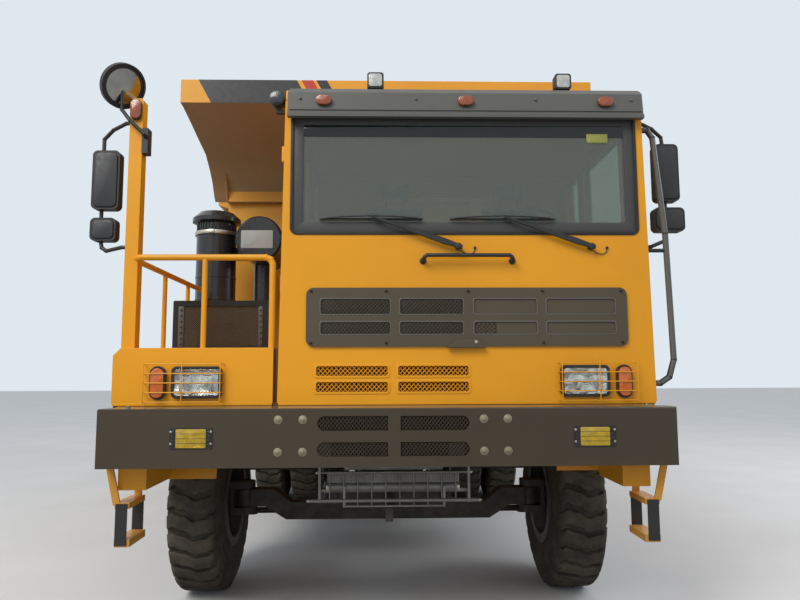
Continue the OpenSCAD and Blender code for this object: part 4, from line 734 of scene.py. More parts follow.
def make_lug():
    clear_selection()
    bpy.ops.mesh.primitive_grid_add(x_subdivisions=LUG_COLUMNS, y_subdivisions=2, size=1.0)
    lug = bpy.context.object
    half = 180.0 / LUGS * LUG_SHARE
    for vertex in lug.data.vertices:
        x = vertex.co.x * TREAD_WIDTH
        wave = sum(swing * math.sin(math.tau * (x / length + shift)) for swing, length, shift in LUG_WAVES)
        angle = math.radians(2 * vertex.co.y * half + wave)
        r = lug_outside(x)
        vertex.co = (x, r * math.sin(angle), -r * math.cos(angle))
    inward = 1.0 if lug.data.polygons[0].normal.z > 0 else -1.0
    finish_modifier(lug, "SOLIDIFY", thickness=LUG_DEPTH, offset=inward)
    round_edges(lug, lambda way, middle: math.hypot(middle.y, middle.z) > lug_outside(middle.x) - 0.006,
                LUG_EDGE, 1)
    return lug


def make_tyre():
    lug = make_lug()
    edit(lug)
    bpy.ops.mesh.spin(steps=LUGS - 1, dupli=True, angle=math.tau * (LUGS - 1) / LUGS, center=(0, 0, 0),
                      axis=ACROSS)
    turn_outward()
    leave()
    return joined([turned(TYRE_PROFILE, Vector((0, 0, 0)), ACROSS, TYRE_STEPS), lug])


def fit_tyres():
    pattern = make_tyre()
    for side, sign in SIDES:
        front = copied(pattern, at(sign * FRONT_TRACK, FRONT_AXLE_S, AXLE_Z))
        settle(front, "tread_front_" + side, "tyre_rubber", "wheel_front_" + side, 40)
        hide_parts("tyre_front_" + side)
        for row, s in TWIN_AXLES:
            end = "%s_%s" % (row, side)
            pair = [copied(pattern, at(x, s, AXLE_Z)) for x in span(sign * TWIN_TRACK, TWIN_HALF_PITCH)]
            pair = settle(pair, "tread_" + end, "tyre_rubber", "wheels_" + end, 40)
            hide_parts("tyres_" + end)
    bpy.data.objects.remove(pattern)


# wheel nuts and hub caps on the wheels' outer faces
NUTS = 12
NUT_R = 0.017
STUD_R = 0.009
HUB_BOLTS = 8
HUB_CIRCLE_R = 0.066
HUB_BOLT_R = 0.007


def around(centre, count, radius, first=0.0):
    """Places on a circle round an axle."""
    turns = [math.tau * (i + first) / count for i in range(count)]
    return [centre + Vector((0, math.sin(turn) * radius, math.cos(turn) * radius)) for turn in turns]


def wheel_trim(sign, centre, face, hub_face, hub_r, wheel):
    """The nut ring at face, the cap at hub_face, both measured outwards from the wheel's centre."""
    out = Vector((sign, 0, 0))
    ring = [(face, hub_r + 0.075), (face + 0.010, hub_r + 0.072), (face + 0.014, hub_r + 0.060),
            (face + 0.014, hub_r + 0.006), (face, hub_r)]
    parts = [turned(ring, centre, out, 40)]
    for root in around(centre, NUTS, hub_r + 0.038):
        parts.append(rod(root + out * (face + 0.008), root + out * (face + 0.040), NUT_R, 6, 0.003))
        parts.append(rod(root + out * (face + 0.030), root + out * (face + 0.058), STUD_R, 10, 0.002))
    cap = [(hub_face, 0.078), (hub_face + 0.012, 0.076), (hub_face + 0.020, 0.060), (hub_face + 0.022, 0.0)]
    parts.append(turned(cap, centre, out, 32))
    for root in around(centre, HUB_BOLTS, HUB_CIRCLE_R, 0.5):
        parts.append(rod(root + out * (hub_face + 0.008), root + out * (hub_face + 0.026),
                         HUB_BOLT_R, 6, 0.002))
    settle(parts, "nuts_" + wheel, "rod_grey", ("wheel_" if "front" in wheel else "wheels_") + wheel)


def fit_wheel_trim():
    for side, sign in SIDES:
        wheel_trim(sign, at(sign * FRONT_TRACK, FRONT_AXLE_S, AXLE_Z), -0.030, 0.120, 0.130, "front_" + side)
        for row, s in TWIN_AXLES:
            wheel_trim(sign, at(sign * TWIN_TRACK, s, AXLE_Z), 0.064, 0.300, 0.150, "%s_%s" % (row, side))


# flat parts that face the front or the back: black plates of painted shade behind the meshes, grille edges
# paler as painted highlight, lamp lenses, window seals and a dark band of painted reflection on the
# windscreen
SLOT_ROWS = ((1.326, 1.411), (1.179, 1.262))
LOUVRE_ROWS = ((1.641, 1.701), (1.546, 1.607))
FIELD_ROWS = ((2.007, 2.104), (1.887, 1.965))
FIELD_XS = ((-0.416, 0.006), (0.060, 0.446), (0.506, 0.892), (0.946, 1.368))
OPEN_FIELD_XS = ((-0.410, 0.000), (0.066, 0.440))
RIM_XS = ((-0.439, -0.010), (0.050, 0.474))
HEADLAMP_XS = (-1.137, 1.168)
TURN_XS = (-1.364, 1.403)
FOG_XS = (-1.141, 1.193)
TAIL_S = (8.110, 8.118)
TAIL_ZS = ((0.912, 1.008),)
PLATES = (
    # piece, finish, x ranges, s range, z ranges, corner, border or 0 for a full plate, softened edge
    # painted shade: black plates behind the slot and louvre meshes stand for the dark space behind them
    ("mesh_shades", "mesh_black", ((-0.425, -0.006), (0.057, 0.468)), (0.026, 0.028), SLOT_ROWS,
     0.020, 0, 0.0005),
    ("mesh_shades", "mesh_black", ((-0.437, -0.012), (0.052, 0.472)), (0.122, 0.124), LOUVRE_ROWS,
     0.010, 0, 0.0005),
    # painted highlight and worn paint: paler grey frames round the grille's fields, where their edges catch
    # the light
    ("grille_field_highlight_edges", "rod_grey", grown(FIELD_XS, 0.004), (0.0845, 0.0925), grown(FIELD_ROWS, 0.004),
     0.016, 0.008, 0.0018),
    # painted shade: black plates behind the open fields' mesh
    ("grille_field_shade_backs", "mesh_black", OPEN_FIELD_XS, (0.0905, 0.0925), FIELD_ROWS, 0.010, 0, 0.0005),
    ("louvre_rims", "cab_yellow", grown(RIM_XS, 0.012), (0.0965, 0.1005), grown(LOUVRE_ROWS, 0.012),
     0.018, 0.014, 0.001),
    ("headlamp_rims", "black_plastic", spans(HEADLAMP_XS, 0.148), (0.070, 0.088), ((1.514, 1.702),),
     0.030, 0.017, 0.003),
    ("headlamp_lenses", "head_lens", spans(HEADLAMP_XS, 0.130), (0.066, 0.072), ((1.531, 1.685),),
     0.022, 0, 0.002),
    ("turn_lenses", "orange_lens", spans(TURN_XS, 0.038), (0.058, 0.075), ((1.518, 1.692),),
     0.0375, 0, 0.004),
    ("turn_lamp_rims", "black_plastic", spans(TURN_XS, 0.047), (0.070, 0.078), ((1.506, 1.704),),
     0.0465, 0.009, 0.002),
    ("turn_lamp_rims", "black_plastic", spans(FOG_XS, 0.121), (0.0030, 0.0090), ((1.230, 1.348),),
     0.006, 0.004, 0.0008),
    ("fog_lenses", "yellow_lens", spans(FOG_XS, 0.086), (0.0010, 0.0022), ((1.236, 1.342),),
     0.008, 0, 0.0004),
    ("roof_lamp_lenses", "clear_lens", spans((-0.085, 1.098), 0.041), (0.106, 0.112), ((3.443, 3.524),),
     0.014, 0, 0.002),
    ("marker_lenses", "amber_lens", spans((-0.400, 0.470, 1.335), 0.047), (0.020, 0.041), ((3.2895, 3.3505),),
     0.029, 0, 0.006),
    ("marker_lenses", "amber_lens", ((-1.608, -1.544),), (0.130, 0.140), ((3.236, 3.358),), 0.030, 0, 0.004),
    ("tail_lenses_red", "red_lens", ((-0.590, -0.460), (0.530, 0.660)), TAIL_S, TAIL_ZS, 0.016, 0, 0.002),
    ("tail_lenses_orange", "orange_lens", ((-0.658, -0.596), (0.462, 0.524)), TAIL_S, TAIL_ZS,
     0.016, 0, 0.002),
    ("windscreen_seal", "seal_rubber", ((-0.606, 1.538),), (0.0925, 0.101), ((2.496, 3.262),),
     0.044, 0.020, 0.003),
    ("windscreen_border", "border_grey", ((-0.590, 1.522),), (0.0995, 0.1018), ((2.512, 3.248),),
     0.030, 0.062, 0.0005),
    # painted reflection: the visor's dark underside, as a band across the windscreen's top
    ("windscreen_visor_reflection_band", "band_glass", ((-0.540, 1.472),), (0.1005, 0.1020), ((3.112, 3.198),),
     0.010, 0, 0.0004),
    ("inspection_patch", "sticker_pale", ((1.230, 1.362),), (0.0985, 0.1005), ((3.080, 3.136),),
     0.004, 0, 0.0005),
    ("cleaner_plate", "plate_grey", ((-1.277, -1.000),), (1.892, 1.900), ((2.743, 2.902),), 0.010, 0, 0.002),
)


def fit_groups(groups, angle=35.0):
    """Settles lists of parts that are kept by (piece, finish)."""
    for (name, finish), parts in groups.items():
        settle(parts, name, finish, angle=angle)


def fit_plates():
    groups = {}
    for name, finish, xs, s, zs, corner, border, soften in PLATES:
        for z in zs:
            for x in xs:
                plate = (frame_plate(x, s, z, corner, border, soften) if border
                         else rounded_plate(x, s, z, corner, soften))
                groups.setdefault((name, finish), []).append(plate)
    fit_groups(groups)


# punched mesh in the bumper's slots, the cab's louvres, the grille's open fields and the radiator
MESHES = (
    # piece, finish, x ranges, z ranges, s, pitch, wire's radius, a cell's height to its width
    ("bumper_slot_mesh", "bumper_grey", ((-0.418, -0.012), (0.063, 0.461)), SLOT_ROWS,
     0.0135, 0.0225, 0.0044, 1.4),
    ("louvre_mesh", "cab_yellow", ((-0.438, -0.011), (0.051, 0.473)), LOUVRE_ROWS,
     0.106, 0.0260, 0.0042, 1.0),
    ("grille_field_mesh", "grille_grey", OPEN_FIELD_XS, FIELD_ROWS, 0.0905, 0.0240, 0.0034, 1.0),
    ("grille_field_mesh", "grille_grey", ((0.512, 0.640),), FIELD_ROWS[1:], 0.0905, 0.0240, 0.0034, 1.0),
    # painted light: the radiator screen is made paler against the deck's shade
    ("radiator_screen", "screen_grey", ((-1.556, -0.926),), ((1.858, 2.156),), 1.110, 0.0160, 0.0036, 1.0),
)


def front_grid(x, z, s, columns, rows):
    """A flat grid that faces the front."""
    clear_selection()
    bpy.ops.mesh.primitive_grid_add(
        x_subdivisions=columns, y_subdivisions=rows, size=1.0, rotation=(math.pi / 2, 0, 0),
        location=at(sum(x) / 2, s, sum(z) / 2))
    obj = bpy.context.object
    obj.scale = (x[1] - x[0], z[1] - z[0], 1.0)
    apply_place()
    return obj


def wire_mesh(x, z, s, pitch, wire, tall):
    """Punched mesh: a grid cut to diamonds, whose cells are opened by a wireframe."""
    columns = max(2, round((x[1] - x[0]) / pitch))
    obj = front_grid(x, z, s, columns, max(2, round((z[1] - z[0]) / pitch / tall)))
    edit(obj)
    bpy.ops.mesh.poke()
    leave()
    pick_edges(obj, lambda way, middle: abs(way.x) > 0.98 or abs(way.z) > 0.98)
    bpy.ops.mesh.dissolve_edges()
    leave()
    finish_modifier(obj, "WIREFRAME", thickness=2 * wire, use_boundary=True, use_even_offset=False)
    return obj


def fit_meshes():
    groups = {}
    for name, finish, xs, zs, s, pitch, wire, tall in MESHES:
        sheets = [wire_mesh(x, z, s, pitch, wire, tall) for z in zs for x in xs]
        groups.setdefault((name, finish), []).extend(sheets)
    fit_groups(groups, 60)
    for name in ("bumper_slot_mesh", "mesh_shades", "louvre_mesh"):
        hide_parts("front_meshes")


# bolts on the bumper, its top and the grille
BOLT_XS = (-0.645, -0.503, 0.546, 0.685)
BOLT_ZS = (1.392, 1.208)
TOP_BOLTS = [(x, s) for x in (-1.52, 1.52) for s in (0.05, 0.13)]
GRILLE_SCREWS = [(x, z) for x in (-0.47, -0.02, 0.475, 0.925, 1.405) for z in (1.838, 2.150)]


def bolts(places, way, washer_r, head_r):
    """At each place a washer, a six-sided head and the bolt's end, pointing along way."""
    parts = []
    for place in places:
        parts += [rod(place, place + way * 0.004, washer_r, 24, 0.001),
                  rod(place + way * 0.003, place + way * 0.014, head_r, 6, 0.002),
                  rod(place + way * 0.012, place + way * 0.018, head_r * 0.5, 12, 0.001)]
    return parts


def bumper_bolt(x, z):
    """A wide washer, a low nut and the bolt's domed end, on the bumper's face."""
    face = at(x, BUMPER_BACK, z)
    washer = rod(at(x, BUMPER_BACK + 0.001, z), at(x, BUMPER_BACK - 0.0022, z), 0.0250, 28, 0.0008)
    nut = rod(face, at(x, 0.0030, z), 0.0170, 6, 0.0008)
    end = turned([(0.0040, 0.0085), (0.0068, 0.0080), (0.0074, 0.0060), (0.0074, 0.0)], face, AHEAD, 20)
    return [washer, nut, end]


def fit_bolts():
    heads = []
    for x in BOLT_XS:
        for z in BOLT_ZS:
            heads += bumper_bolt(x, z)
    heads += bolts([at(x, s, 1.457) for x, s in TOP_BOLTS], UP, 0.018, 0.012)
    settle(heads, "bumper_bolts", "dull_zinc", angle=25)
    screws = bolts([at(x, 0.0865, z) for x, z in GRILLE_SCREWS], AHEAD, 0.009, 0.006)
    settle(screws, "grille_screws", "frame_black")


# head and fog lamps behind their lenses, with their wire guards
HEADLAMP_Z = 1.608
FOG_Z = 1.289
GUARDS = ((-1.448, -0.985), (1.015, 1.482))
GUARD_ZS = (1.494, 1.716)
GUARD_BARS = 5
GUARD_R = 0.0032


def reflector(x, z, s, columns, rows, depth):
    """A bowl of facets behind a clear lens."""
    obj = front_grid(x, z, s, columns, rows)
    for vertex in obj.data.vertices:
        vertex.co.y += random.uniform(-depth, depth)
    finish_modifier(obj, "SOLIDIFY", thickness=depth * 0.2)
    return obj


def fit_headlamps():
    bowls = []
    for x in HEADLAMP_XS:
        bowls.append(reflector(span(x, 0.128), span(HEADLAMP_Z, 0.076), 0.081, 9, 5, 0.0068))
        for middle in span(x, 0.058):
            bowls.append(turned([(0.010, 0.048), (0.004, 0.030), (0.002, 0.012), (0.0, 0.0)],
                                at(middle, 0.072, HEADLAMP_Z), BACK, 28))
    settle(bowls, "headlamp_reflectors", "lamp_mirror", angle=12)


def fit_fog_lamps():
    """Facets behind the lens, blocks and screws at each side, and three thin bars."""
    bowls, sides, screws = [], [], []
    for x in FOG_XS:
        bowls.append(reflector(span(x, 0.085), span(FOG_Z, 0.052), 0.0046, 6, 3, 0.0010))
        for dx in (-0.104, 0.104):
            for dz in (-0.036, -0.012, 0.012, 0.036):
                sides.append(block(span(x + dx, 0.012), (0.0008, 0.006), span(FOG_Z + dz, 0.007), 0.002))
            for z in (1.259, 1.327):
                edge = x + dx * 1.10
                screws.append(rod(at(edge, BUMPER_BACK, z), at(edge, 0.0005, z), 0.0075, 6, 0.001))
        for z in (1.262, 1.289, 1.316):
            sides.append(rod(at(x - 0.118, 0.0012, z), at(x + 0.118, 0.0012, z), 0.0012, 8, 0.0003))
    settle(bowls, "fog_reflectors", "yellow_mirror", angle=2)
    settle(screws, "fog_screws", "zinc")
    settle(sides, "fog_lamp_sides", "black_plastic")


def fit_lamp_guards():
    wires = []
    low, high = GUARD_ZS
    for x0, x1 in GUARDS:
        for i in range(GUARD_BARS):
            z = low + (high - low) * i / (GUARD_BARS - 1)
            route = ((x0, 0.099), (x0 + 0.006, 0.052), (x1 - 0.006, 0.052), (x1, 0.099))
            wires.append(bent_tube([at(x, s, z) for x, s in route], GUARD_R))
        for x in (x0 + 0.008, (x0 + x1) / 2, x1 - 0.008):
            wires.append(rod(at(x, 0.047, low - 0.008), at(x, 0.047, high + 0.008), GUARD_R, 10, 0.001))
    settle(wires, "lamp_guards", "rail_yellow")


# small lamps: softened bodies, moved to the photograph's places, a corner lamp and side markers
LAMP_SHIFTS = (
    # x from, x to, lowest z, shift along x
    (-0.480, -0.350, 3.270, 0.016),
    (1.040, 1.200, 3.400, -0.022),
    (1.310, 1.450, 3.270, -0.045),
)
SIDE_MARKERS = (
    # x range, s, z
    ((-1.654, -1.640), 1.73, 1.757),
    ((1.603, 1.617), 1.30, 1.84),
)


def fit_small_lamps():
    bodies = sheet_copy("small_lamps")
    for vertex in bodies.data.vertices:
        for x0, x1, z0, shift in LAMP_SHIFTS:
            if x0 < vertex.co.x < x1 and vertex.co.z > z0:
                vertex.co.x += shift
                break
    soften_corners(bodies, 0.002, angle_limit=CORNER_LIMIT)
    settle(bodies, "small_lamp_bodies", "black_plastic", angle=SKIN_ANGLE)
    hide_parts("small_lamps")
    dark = turned([(-0.006, 0.0), (-0.005, 0.025), (0.0, 0.041), (0.002, 0.041)], at(-0.698, 0.108, 3.366),
                  BACK, 32)
    settle(dark, "corner_lamp_lens", "dark_lens")
    sides = [block(x, span(s, 0.045), span(z, 0.020), 0.005) for x, s, z in SIDE_MARKERS]
    settle(sides, "side_markers", "orange_lens")


LATCH_OUTLINE = ((0.338, 1.806), (0.575, 1.806), (0.530, 1.856), (0.408, 1.856))


def fit_latch():
    """The grille's latch and its button."""
    latch = sheet_piece([at(x, 0.087, z) for x, z in LATCH_OUTLINE], 0.026, AHEAD, 0.003)
    settle(latch, "grille_latch", "grille_grey")
    settle(rod(at(0.515, 0.062, 1.840), at(0.515, 0.055, 1.840), 0.009, 16), "latch_button", "zinc")


# wipers, washer jets and the grab handle below them
WIPERS = (
    # blade's two ends, pivot
    (-0.424, 0.205, 0.418),
    (0.370, 1.018, 1.230),
)
PIVOT_Z = 2.420
BLADE_Z = 2.592
ARM_S = 0.066
GLASS_S = 0.100
JET_DROP = ((0.010, -0.016), (0.040, -0.038), (0.070, -0.044), (0.096, -0.034), (0.103, -0.010))
HANDLE_XS = (0.204, 0.748)
HANDLE_BEND = (
    # in from the handle's end, s, z
    (0.0, 0.100, 2.334), (0.0, 0.068, 2.334), (0.002, 0.056, 2.340), (0.008, 0.050, 2.351),
    (0.022, 0.048, 2.362),
)


def wiper_arm(x0, x1, pivot):
    """A thin blade on its bow, and the tapered arm from its pivot."""
    middle = (x0 + x1) / 2
    blade = block((x0, x1), (0.076, 0.097), span(BLADE_Z, 0.003), 0.0012)
    bow = [(x0 + 0.03, 0.074, 0.002), (middle - 0.16, ARM_S, 0.010), (middle, 0.062, 0.015),
           (middle + 0.16, ARM_S, 0.010), (x1 - 0.03, 0.074, 0.002)]
    bow = bent_tube([at(x, s, BLADE_Z + up) for x, s, up in bow], 0.0045)
    root, tip = at(pivot, ARM_S, PIVOT_Z), at(middle, ARM_S, BLADE_Z + 0.010)
    way = (tip - root).normalized()
    side = way.cross(BACK)
    half = [(-0.024, 0.013), (0.100, 0.019), ((tip - root).length, 0.006)]
    outline = [root + way * a + side * w for a, w in half]
    outline += [root + way * a - side * w for a, w in reversed(half)]
    arm = sheet_piece(outline, 0.014, AHEAD)
    return [blade, bow, arm, rod(at(pivot, GLASS_S, PIVOT_Z), at(pivot, 0.050, PIVOT_Z), 0.020, 24, 0.005)]


def fit_wipers():
    arms, jets = [], []
    for x0, x1, pivot in WIPERS:
        arms += wiper_arm(x0, x1, pivot)
        jets.append(bent_tube([at(pivot + dx, 0.094, PIVOT_Z + dz) for dx, dz in JET_DROP], 0.0026))
        x, z = pivot + JET_DROP[-1][0], PIVOT_Z - 0.004
        jets.append(rod(at(x, GLASS_S, z), at(x, 0.088, z), 0.008, 16, 0.002))
    arms = settle(arms, "wiper_arms", "black_plastic")
    first, last = HANDLE_XS
    bend = [at(first + inset, s, z) for inset, s, z in HANDLE_BEND]
    bend += [at(last - inset, s, z) for inset, s, z in reversed(HANDLE_BEND)]
    handle = [bent_tube(bend, 0.0125, False, 5)]
    handle += [rod(at(x, GLASS_S, 2.334), at(x, 0.093, 2.334), 0.021, 24, 0.002) for x in HANDLE_XS]
    handle = settle(handle, "front_grab_handle", "black_plastic", angle=50)
    jets = settle(jets, "washer_jets", "seal_rubber")
    for piece in (arms, handle, jets):
        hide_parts("wipers")


def fit_visor():
    """The pressed bead along the visor's lower edge, and its screws."""
    bead = [bent_tube([at(x, 0.0395, 3.262) for x in (-0.608, 1.559)], 0.0045, False, 4)]
    for x in (-0.545, 0.165, 0.905, 1.500):
        bead.append(turned([(0.0, 0.0085), (0.004, 0.0075), (0.006, 0.004), (0.0065, 0.0)],
                           at(x, 0.0462, 3.336), Vector((0, -0.98, 0.2)), 16))
    settle(bead, "visor_bead", "visor_grey")


# cab sides: the doors' handles, stripes and window seals, and the quarter and rear windows' seals
LEFT_X = 1.603
RIGHT_X = -0.667
DOOR_HANDLE_Z = 2.42
WINDOW_Z = 2.560
SIDE_LEAN = 0.0135
SEAL_R = 0.009
REAR_SEAL_S = 1.802


def side_seal(x, way, inset, front, back, top):
    """A seal round a side window, on the leaning wall."""
    route = ((front, WINDOW_Z), (back, WINDOW_Z), (back, top), (front, top))
    points = [at(x - way * (inset + (z - WINDOW_Z) * SIDE_LEAN), s, z) for s, z in route]
    return bent_tube(points, SEAL_R, True)


def door_trim(side, x, way, door_end):
    """Handle, lock, window seal and stripe of a door, on its outer face."""
    body = "door_" + side
    s, z = door_end - 0.17, DOOR_HANDLE_Z
    face = x - way * 0.013
    lock = s + 0.066
    base = sorted((face, face + way * 0.012))
    grip = sorted((face + way * 0.010, face + way * 0.028))
    handle = [block(base, span(s, 0.085), span(z, 0.035), 0.005),
              block(grip, (s - 0.065, s + 0.045), span(z, 0.014), 0.006),
              rod(at(face, lock, z), at(face + way * 0.018, lock, z), 0.011, 16, 0.002)]
    settle(handle, "door_handle_" + side, "black_plastic", body)
    seal = side_seal(x, way, 0.0135, 0.380, door_end - 0.070, 3.225)
    settle(seal, "door_seal_" + side, "seal_rubber", body)
    low, high = 0.42, door_end - 0.30
    outline = ((0.0070, low, 2.12), (0.0070, high, 2.12), (0.0095, high + 0.11, 2.30),
               (0.0095, low + 0.11, 2.30))
    stripe = sheet_piece([at(x - way * inset, d, h) for inset, d, h in outline], 0.0022, Vector((way, 0, 0)))
    settle(stripe, "door_stripe_" + side, "stripe_dark", body)


def fit_cab_sides():
    door_trim("left", LEFT_X, 1, 1.250)
    door_trim("right", RIGHT_X, -1, 1.055)
    seals = [side_seal(x, way, 0.0125, 1.310, 1.650, 3.230) for x, way in ((LEFT_X, 1), (RIGHT_X, -1))]
    rear = ((0.0, 2.60), (0.94, 2.60), (0.94, 3.18), (0.0, 3.18))
    seals.append(bent_tube([at(x, REAR_SEAL_S, z) for x, z in rear], SEAL_R, True))
    settle(seals, "side_window_seals", "seal_rubber")


# mirrors: glass on the faces that look back, padded front covers, and the long grab rail
MIRRORS = (
    # x range, z range
    ((1.700, 1.855), (2.740, 3.115)),
    ((1.683, 1.880), (2.545, 2.700)),
    ((-1.859, -1.690), (2.680, 3.057)),
    ((-1.859, -1.700), (2.480, 2.626)),
)
ROUND_MIRROR = at(-1.663, 0.150, 3.450)
ROUND_MIRROR_WAY = Vector((0.669, -0.570, -0.474)).normalized()
GRAB_RAIL = ((1.585, 3.173), (1.624, 3.173), (1.656, 3.123), (1.711, 2.512), (1.729, 1.734), (1.697, 1.629),
             (1.640, 1.591), (1.602, 1.591))


def inner(limits, margin):
    return limits[0] + margin, limits[1] - margin


def fit_mirrors():
    glass = [rounded_plate(inner(x, 0.014), (0.2845, 0.2875), inner(z, 0.014), 0.024, 0.001)
             for x, z in MIRRORS]
    glass.append(turned([(0.0075, 0.127), (0.0125, 0.090), (0.0150, 0.045), (0.0160, 0.0)], ROUND_MIRROR,
                        ROUND_MIRROR_WAY, 48))
    settle(glass, "mirror_glass", "mirror_glass", angle=60)
    backs = [rounded_plate(inner(x, 0.012), (0.206, 0.217), inner(z, 0.014), 0.030, 0.008)
             for x, z in MIRRORS]
    settle(backs, "mirror_backs", "grey_plastic")
    rail = bent_tube([at(x, 0.130, z) for x, z in GRAB_RAIL], 0.0186, False, 5)
    settle(rail, "grab_rail_paint", "rod_grey")


# canopy lip: slanted stripes
LIP_S = 1.550
LIP_ZS = (3.917, 4.118)
STRIPES = (
    # left edge and right edge at the lip's middle height, finish
    (-1.533, -0.708, "stripe_dark"),
    (-0.670, -0.572, "stripe_red"),
    (-0.545, -0.455, "stripe_dark"),
)
SLANT = 0.055


def fit_stripes():
    low, high = LIP_ZS
    for number, (x0, x1, finish) in enumerate(STRIPES, 1):
        corners = ((x0 + SLANT, low), (x1 + SLANT, low), (x1 - SLANT, high), (x0 - SLANT, high))
        stripe = sheet_piece([at(x, LIP_S, z) for x, z in corners], 0.0018, AHEAD)
        settle(stripe, "lip_stripe_%d" % number, finish, "bed")


# cooler: fins, end fittings and bolts; radiator: side strips with rows of screws
FINS = 78
FIN_PITCH = 0.0108
COOLER_BOLTS = ((-0.452, 1.028), (0.515, 1.028), (-0.509, 0.853), (0.572, 0.853))
RADIATOR_SCREWS = [(x, 1.880 + 0.042 * i) for x in (-1.541, -0.952) for i in range(7)]


def row_of(part, count, pitch):
    """Repeats a part along x."""
    finish_modifier(part, "ARRAY", count=count, use_relative_offset=False, use_constant_offset=True,
                    constant_offset_displace=(pitch, 0, 0))
    return part


def fit_cooler():
    fin = block((-0.3940, -0.3925), (0.474, 0.500), (0.964, 1.014), 0.0004)
    settle(row_of(fin, FINS, FIN_PITCH), "cooler_fins", "engine_iron")
    cap = [(-0.004, 0.0), (-0.004, 0.036), (0.010, 0.037), (0.014, 0.035)]
    ends = [turned(cap, at(x, 0.513, 0.930), way, 32) for x, way in ((-0.400, ACROSS), (0.448, -ACROSS))]
    for x, z in COOLER_BOLTS:
        ends += bolts([at(x, 0.458, z)], -ACROSS if x < 0 else ACROSS, 0.013, 0.011)
    settle(ends, "cooler_fittings", "zinc")


def fit_radiator():
    sides = [block(x, (1.100, 1.112), (1.856, 2.158), 0.002) for x in ((-1.562, -1.520), (-0.968, -0.936))]
    sides += bolts([at(x, 1.100, z) for x, z in RADIATOR_SCREWS], AHEAD, 0.009, 0.006)
    settle(sides, "radiator_sides", "rod_grey")


# the upright air cleaner: clamp, ribs, and the louvres under its cap
CLEANER_X = -1.545
CLEANER_S = 2.130
CLAMP_PROFILE = [(2.888, 0.1825), (2.888, 0.187), (2.892, 0.189), (2.918, 0.189), (2.922, 0.187),
                 (2.922, 0.1825)]
RIB_ZS = (2.10, 2.30, 2.50, 2.70)
LOUVRES = 36
LOUVRE_R = 0.171


def fit_air_cleaner():
    axis = at(CLEANER_X, CLEANER_S, 0)
    clamp = [turned(CLAMP_PROFILE, axis, UP, 64),
             block((-1.57, -1.52), (1.925, 1.945), (2.890, 2.920), 0.003)]
    settle(clamp, "cleaner_clamp", "zinc")
    ribs = [turned([(z, 0.1745), (z + 0.004, 0.1785), (z + 0.016, 0.1785), (z + 0.020, 0.1745)], axis, UP, 56)
            for z in RIB_ZS]
    for i in range(LOUVRES):
        turn = math.tau * i / LOUVRES
        root = at(CLEANER_X + LOUVRE_R * math.sin(turn), CLEANER_S + LOUVRE_R * math.cos(turn), 0)
        ribs.append(rod(root + UP * 2.936, root + UP * 2.994, 0.005, 6, 0.001))
    settle(ribs, "cleaner_ribs", "cleaner_black")


# tanks: filler caps and strap bolts; stepwells: grip teeth on the treads
TREADS = {"left": 1.443, "right": 1.480}
TREAD_ZS = (1.000, 1.220, 1.430)


def fit_tank_details():
    for side, sign in SIDES:
        cap = [(0.0, 0.062), (0.018, 0.066), (0.034, 0.064), (0.042, 0.052), (0.044, 0.0)]
        parts = [turned(cap, at(sign * 1.035, 2.98, 1.450), UP, 40)]
        parts += bolts([at(sign * 1.4565, s, z) for s in (2.63, 3.35) for z in (0.90, 1.27)], sign * ACROSS,
                       0.016, 0.011)
        settle(parts, "tank_fittings_" + side, "zinc")
        x0 = TREADS[side]
        across = sorted((sign * x0, sign * (x0 + 0.006)))
        teeth = [row_of(block(across, (0.30, 0.62), (z - 0.001, z + 0.006), 0.001), 5, sign * 0.024)
                 for z in TREAD_ZS]
        settle(teeth, "step_grip_" + side, "step_yellow")


# seats: soft pads from a cloth simulation on plain pedestals, replacing the solids
SEATS = (("driver", 0.980), ("second", 0.060))
SEAT_Z = 2.280
SEAT_TILT = -math.atan2(0.10, 0.60)
PADS = (
    # name, size, s, height above SEAT_Z, tilt
    ("seat_base", (0.470, 0.470, 0.085), 1.040, 0.066, 0.0),
    ("seat_back", (0.470, 0.070, 0.540), 1.340, 0.435, SEAT_TILT),
    ("head_rest", (0.235, 0.034, 0.150), 1.428, 0.825, SEAT_TILT),
)
STAND = (
    # half width, s range, z range, softened edge
    (0.17, (0.82, 1.20), (1.951, 2.10), 0.012),
    (0.13, (0.86, 1.16), (2.10, 2.245), 0.020),
    (0.20, (0.83, 1.26), (2.245, 2.286), 0.010),
)
PAD_CAP = 0.024
VOXEL = 0.006
PRESSURE = 4.0
CLOTH_FRAMES = 20


def swell(obj):
    """Blows a pad up as cloth under pressure, with a cap on how far any point may move."""
    finish_modifier(obj, "REMESH", mode="VOXEL", voxel_size=VOXEL)
    start = [vertex.co.copy() for vertex in obj.data.vertices]
    modifier = obj.modifiers.new("cloth", "CLOTH")
    modifier.settings.use_pressure = True
    modifier.settings.uniform_pressure_force = PRESSURE
    modifier.settings.effector_weights.gravity = 0.0
    for number in range(1, CLOTH_FRAMES + 1):
        bpy.context.scene.frame_set(number)
    take(obj)
    bpy.ops.object.modifier_apply(modifier=modifier.name)
    bpy.context.scene.frame_set(1)
    for vertex, old in zip(obj.data.vertices, start):
        moved = vertex.co - old
        if moved.length > PAD_CAP:
            vertex.co = old + moved * (PAD_CAP / moved.length)
    finish_modifier(obj, "SUBSURF", levels=1, render_levels=1)


def pad(size, middle, tilt):
    """A pad with rounded edges, blown up and then set in its place."""
    clear_selection()
    bpy.ops.mesh.primitive_cube_add(size=1.0)
    obj = bpy.context.object
    obj.scale = size
    apply_place()
    round_edges(obj, lambda way, place: True, min(size) * 0.28, 4)
    swell(obj)
    obj.rotation_euler = (tilt, 0, 0)
    obj.location = middle
    take(obj)
    apply_place()
    return obj


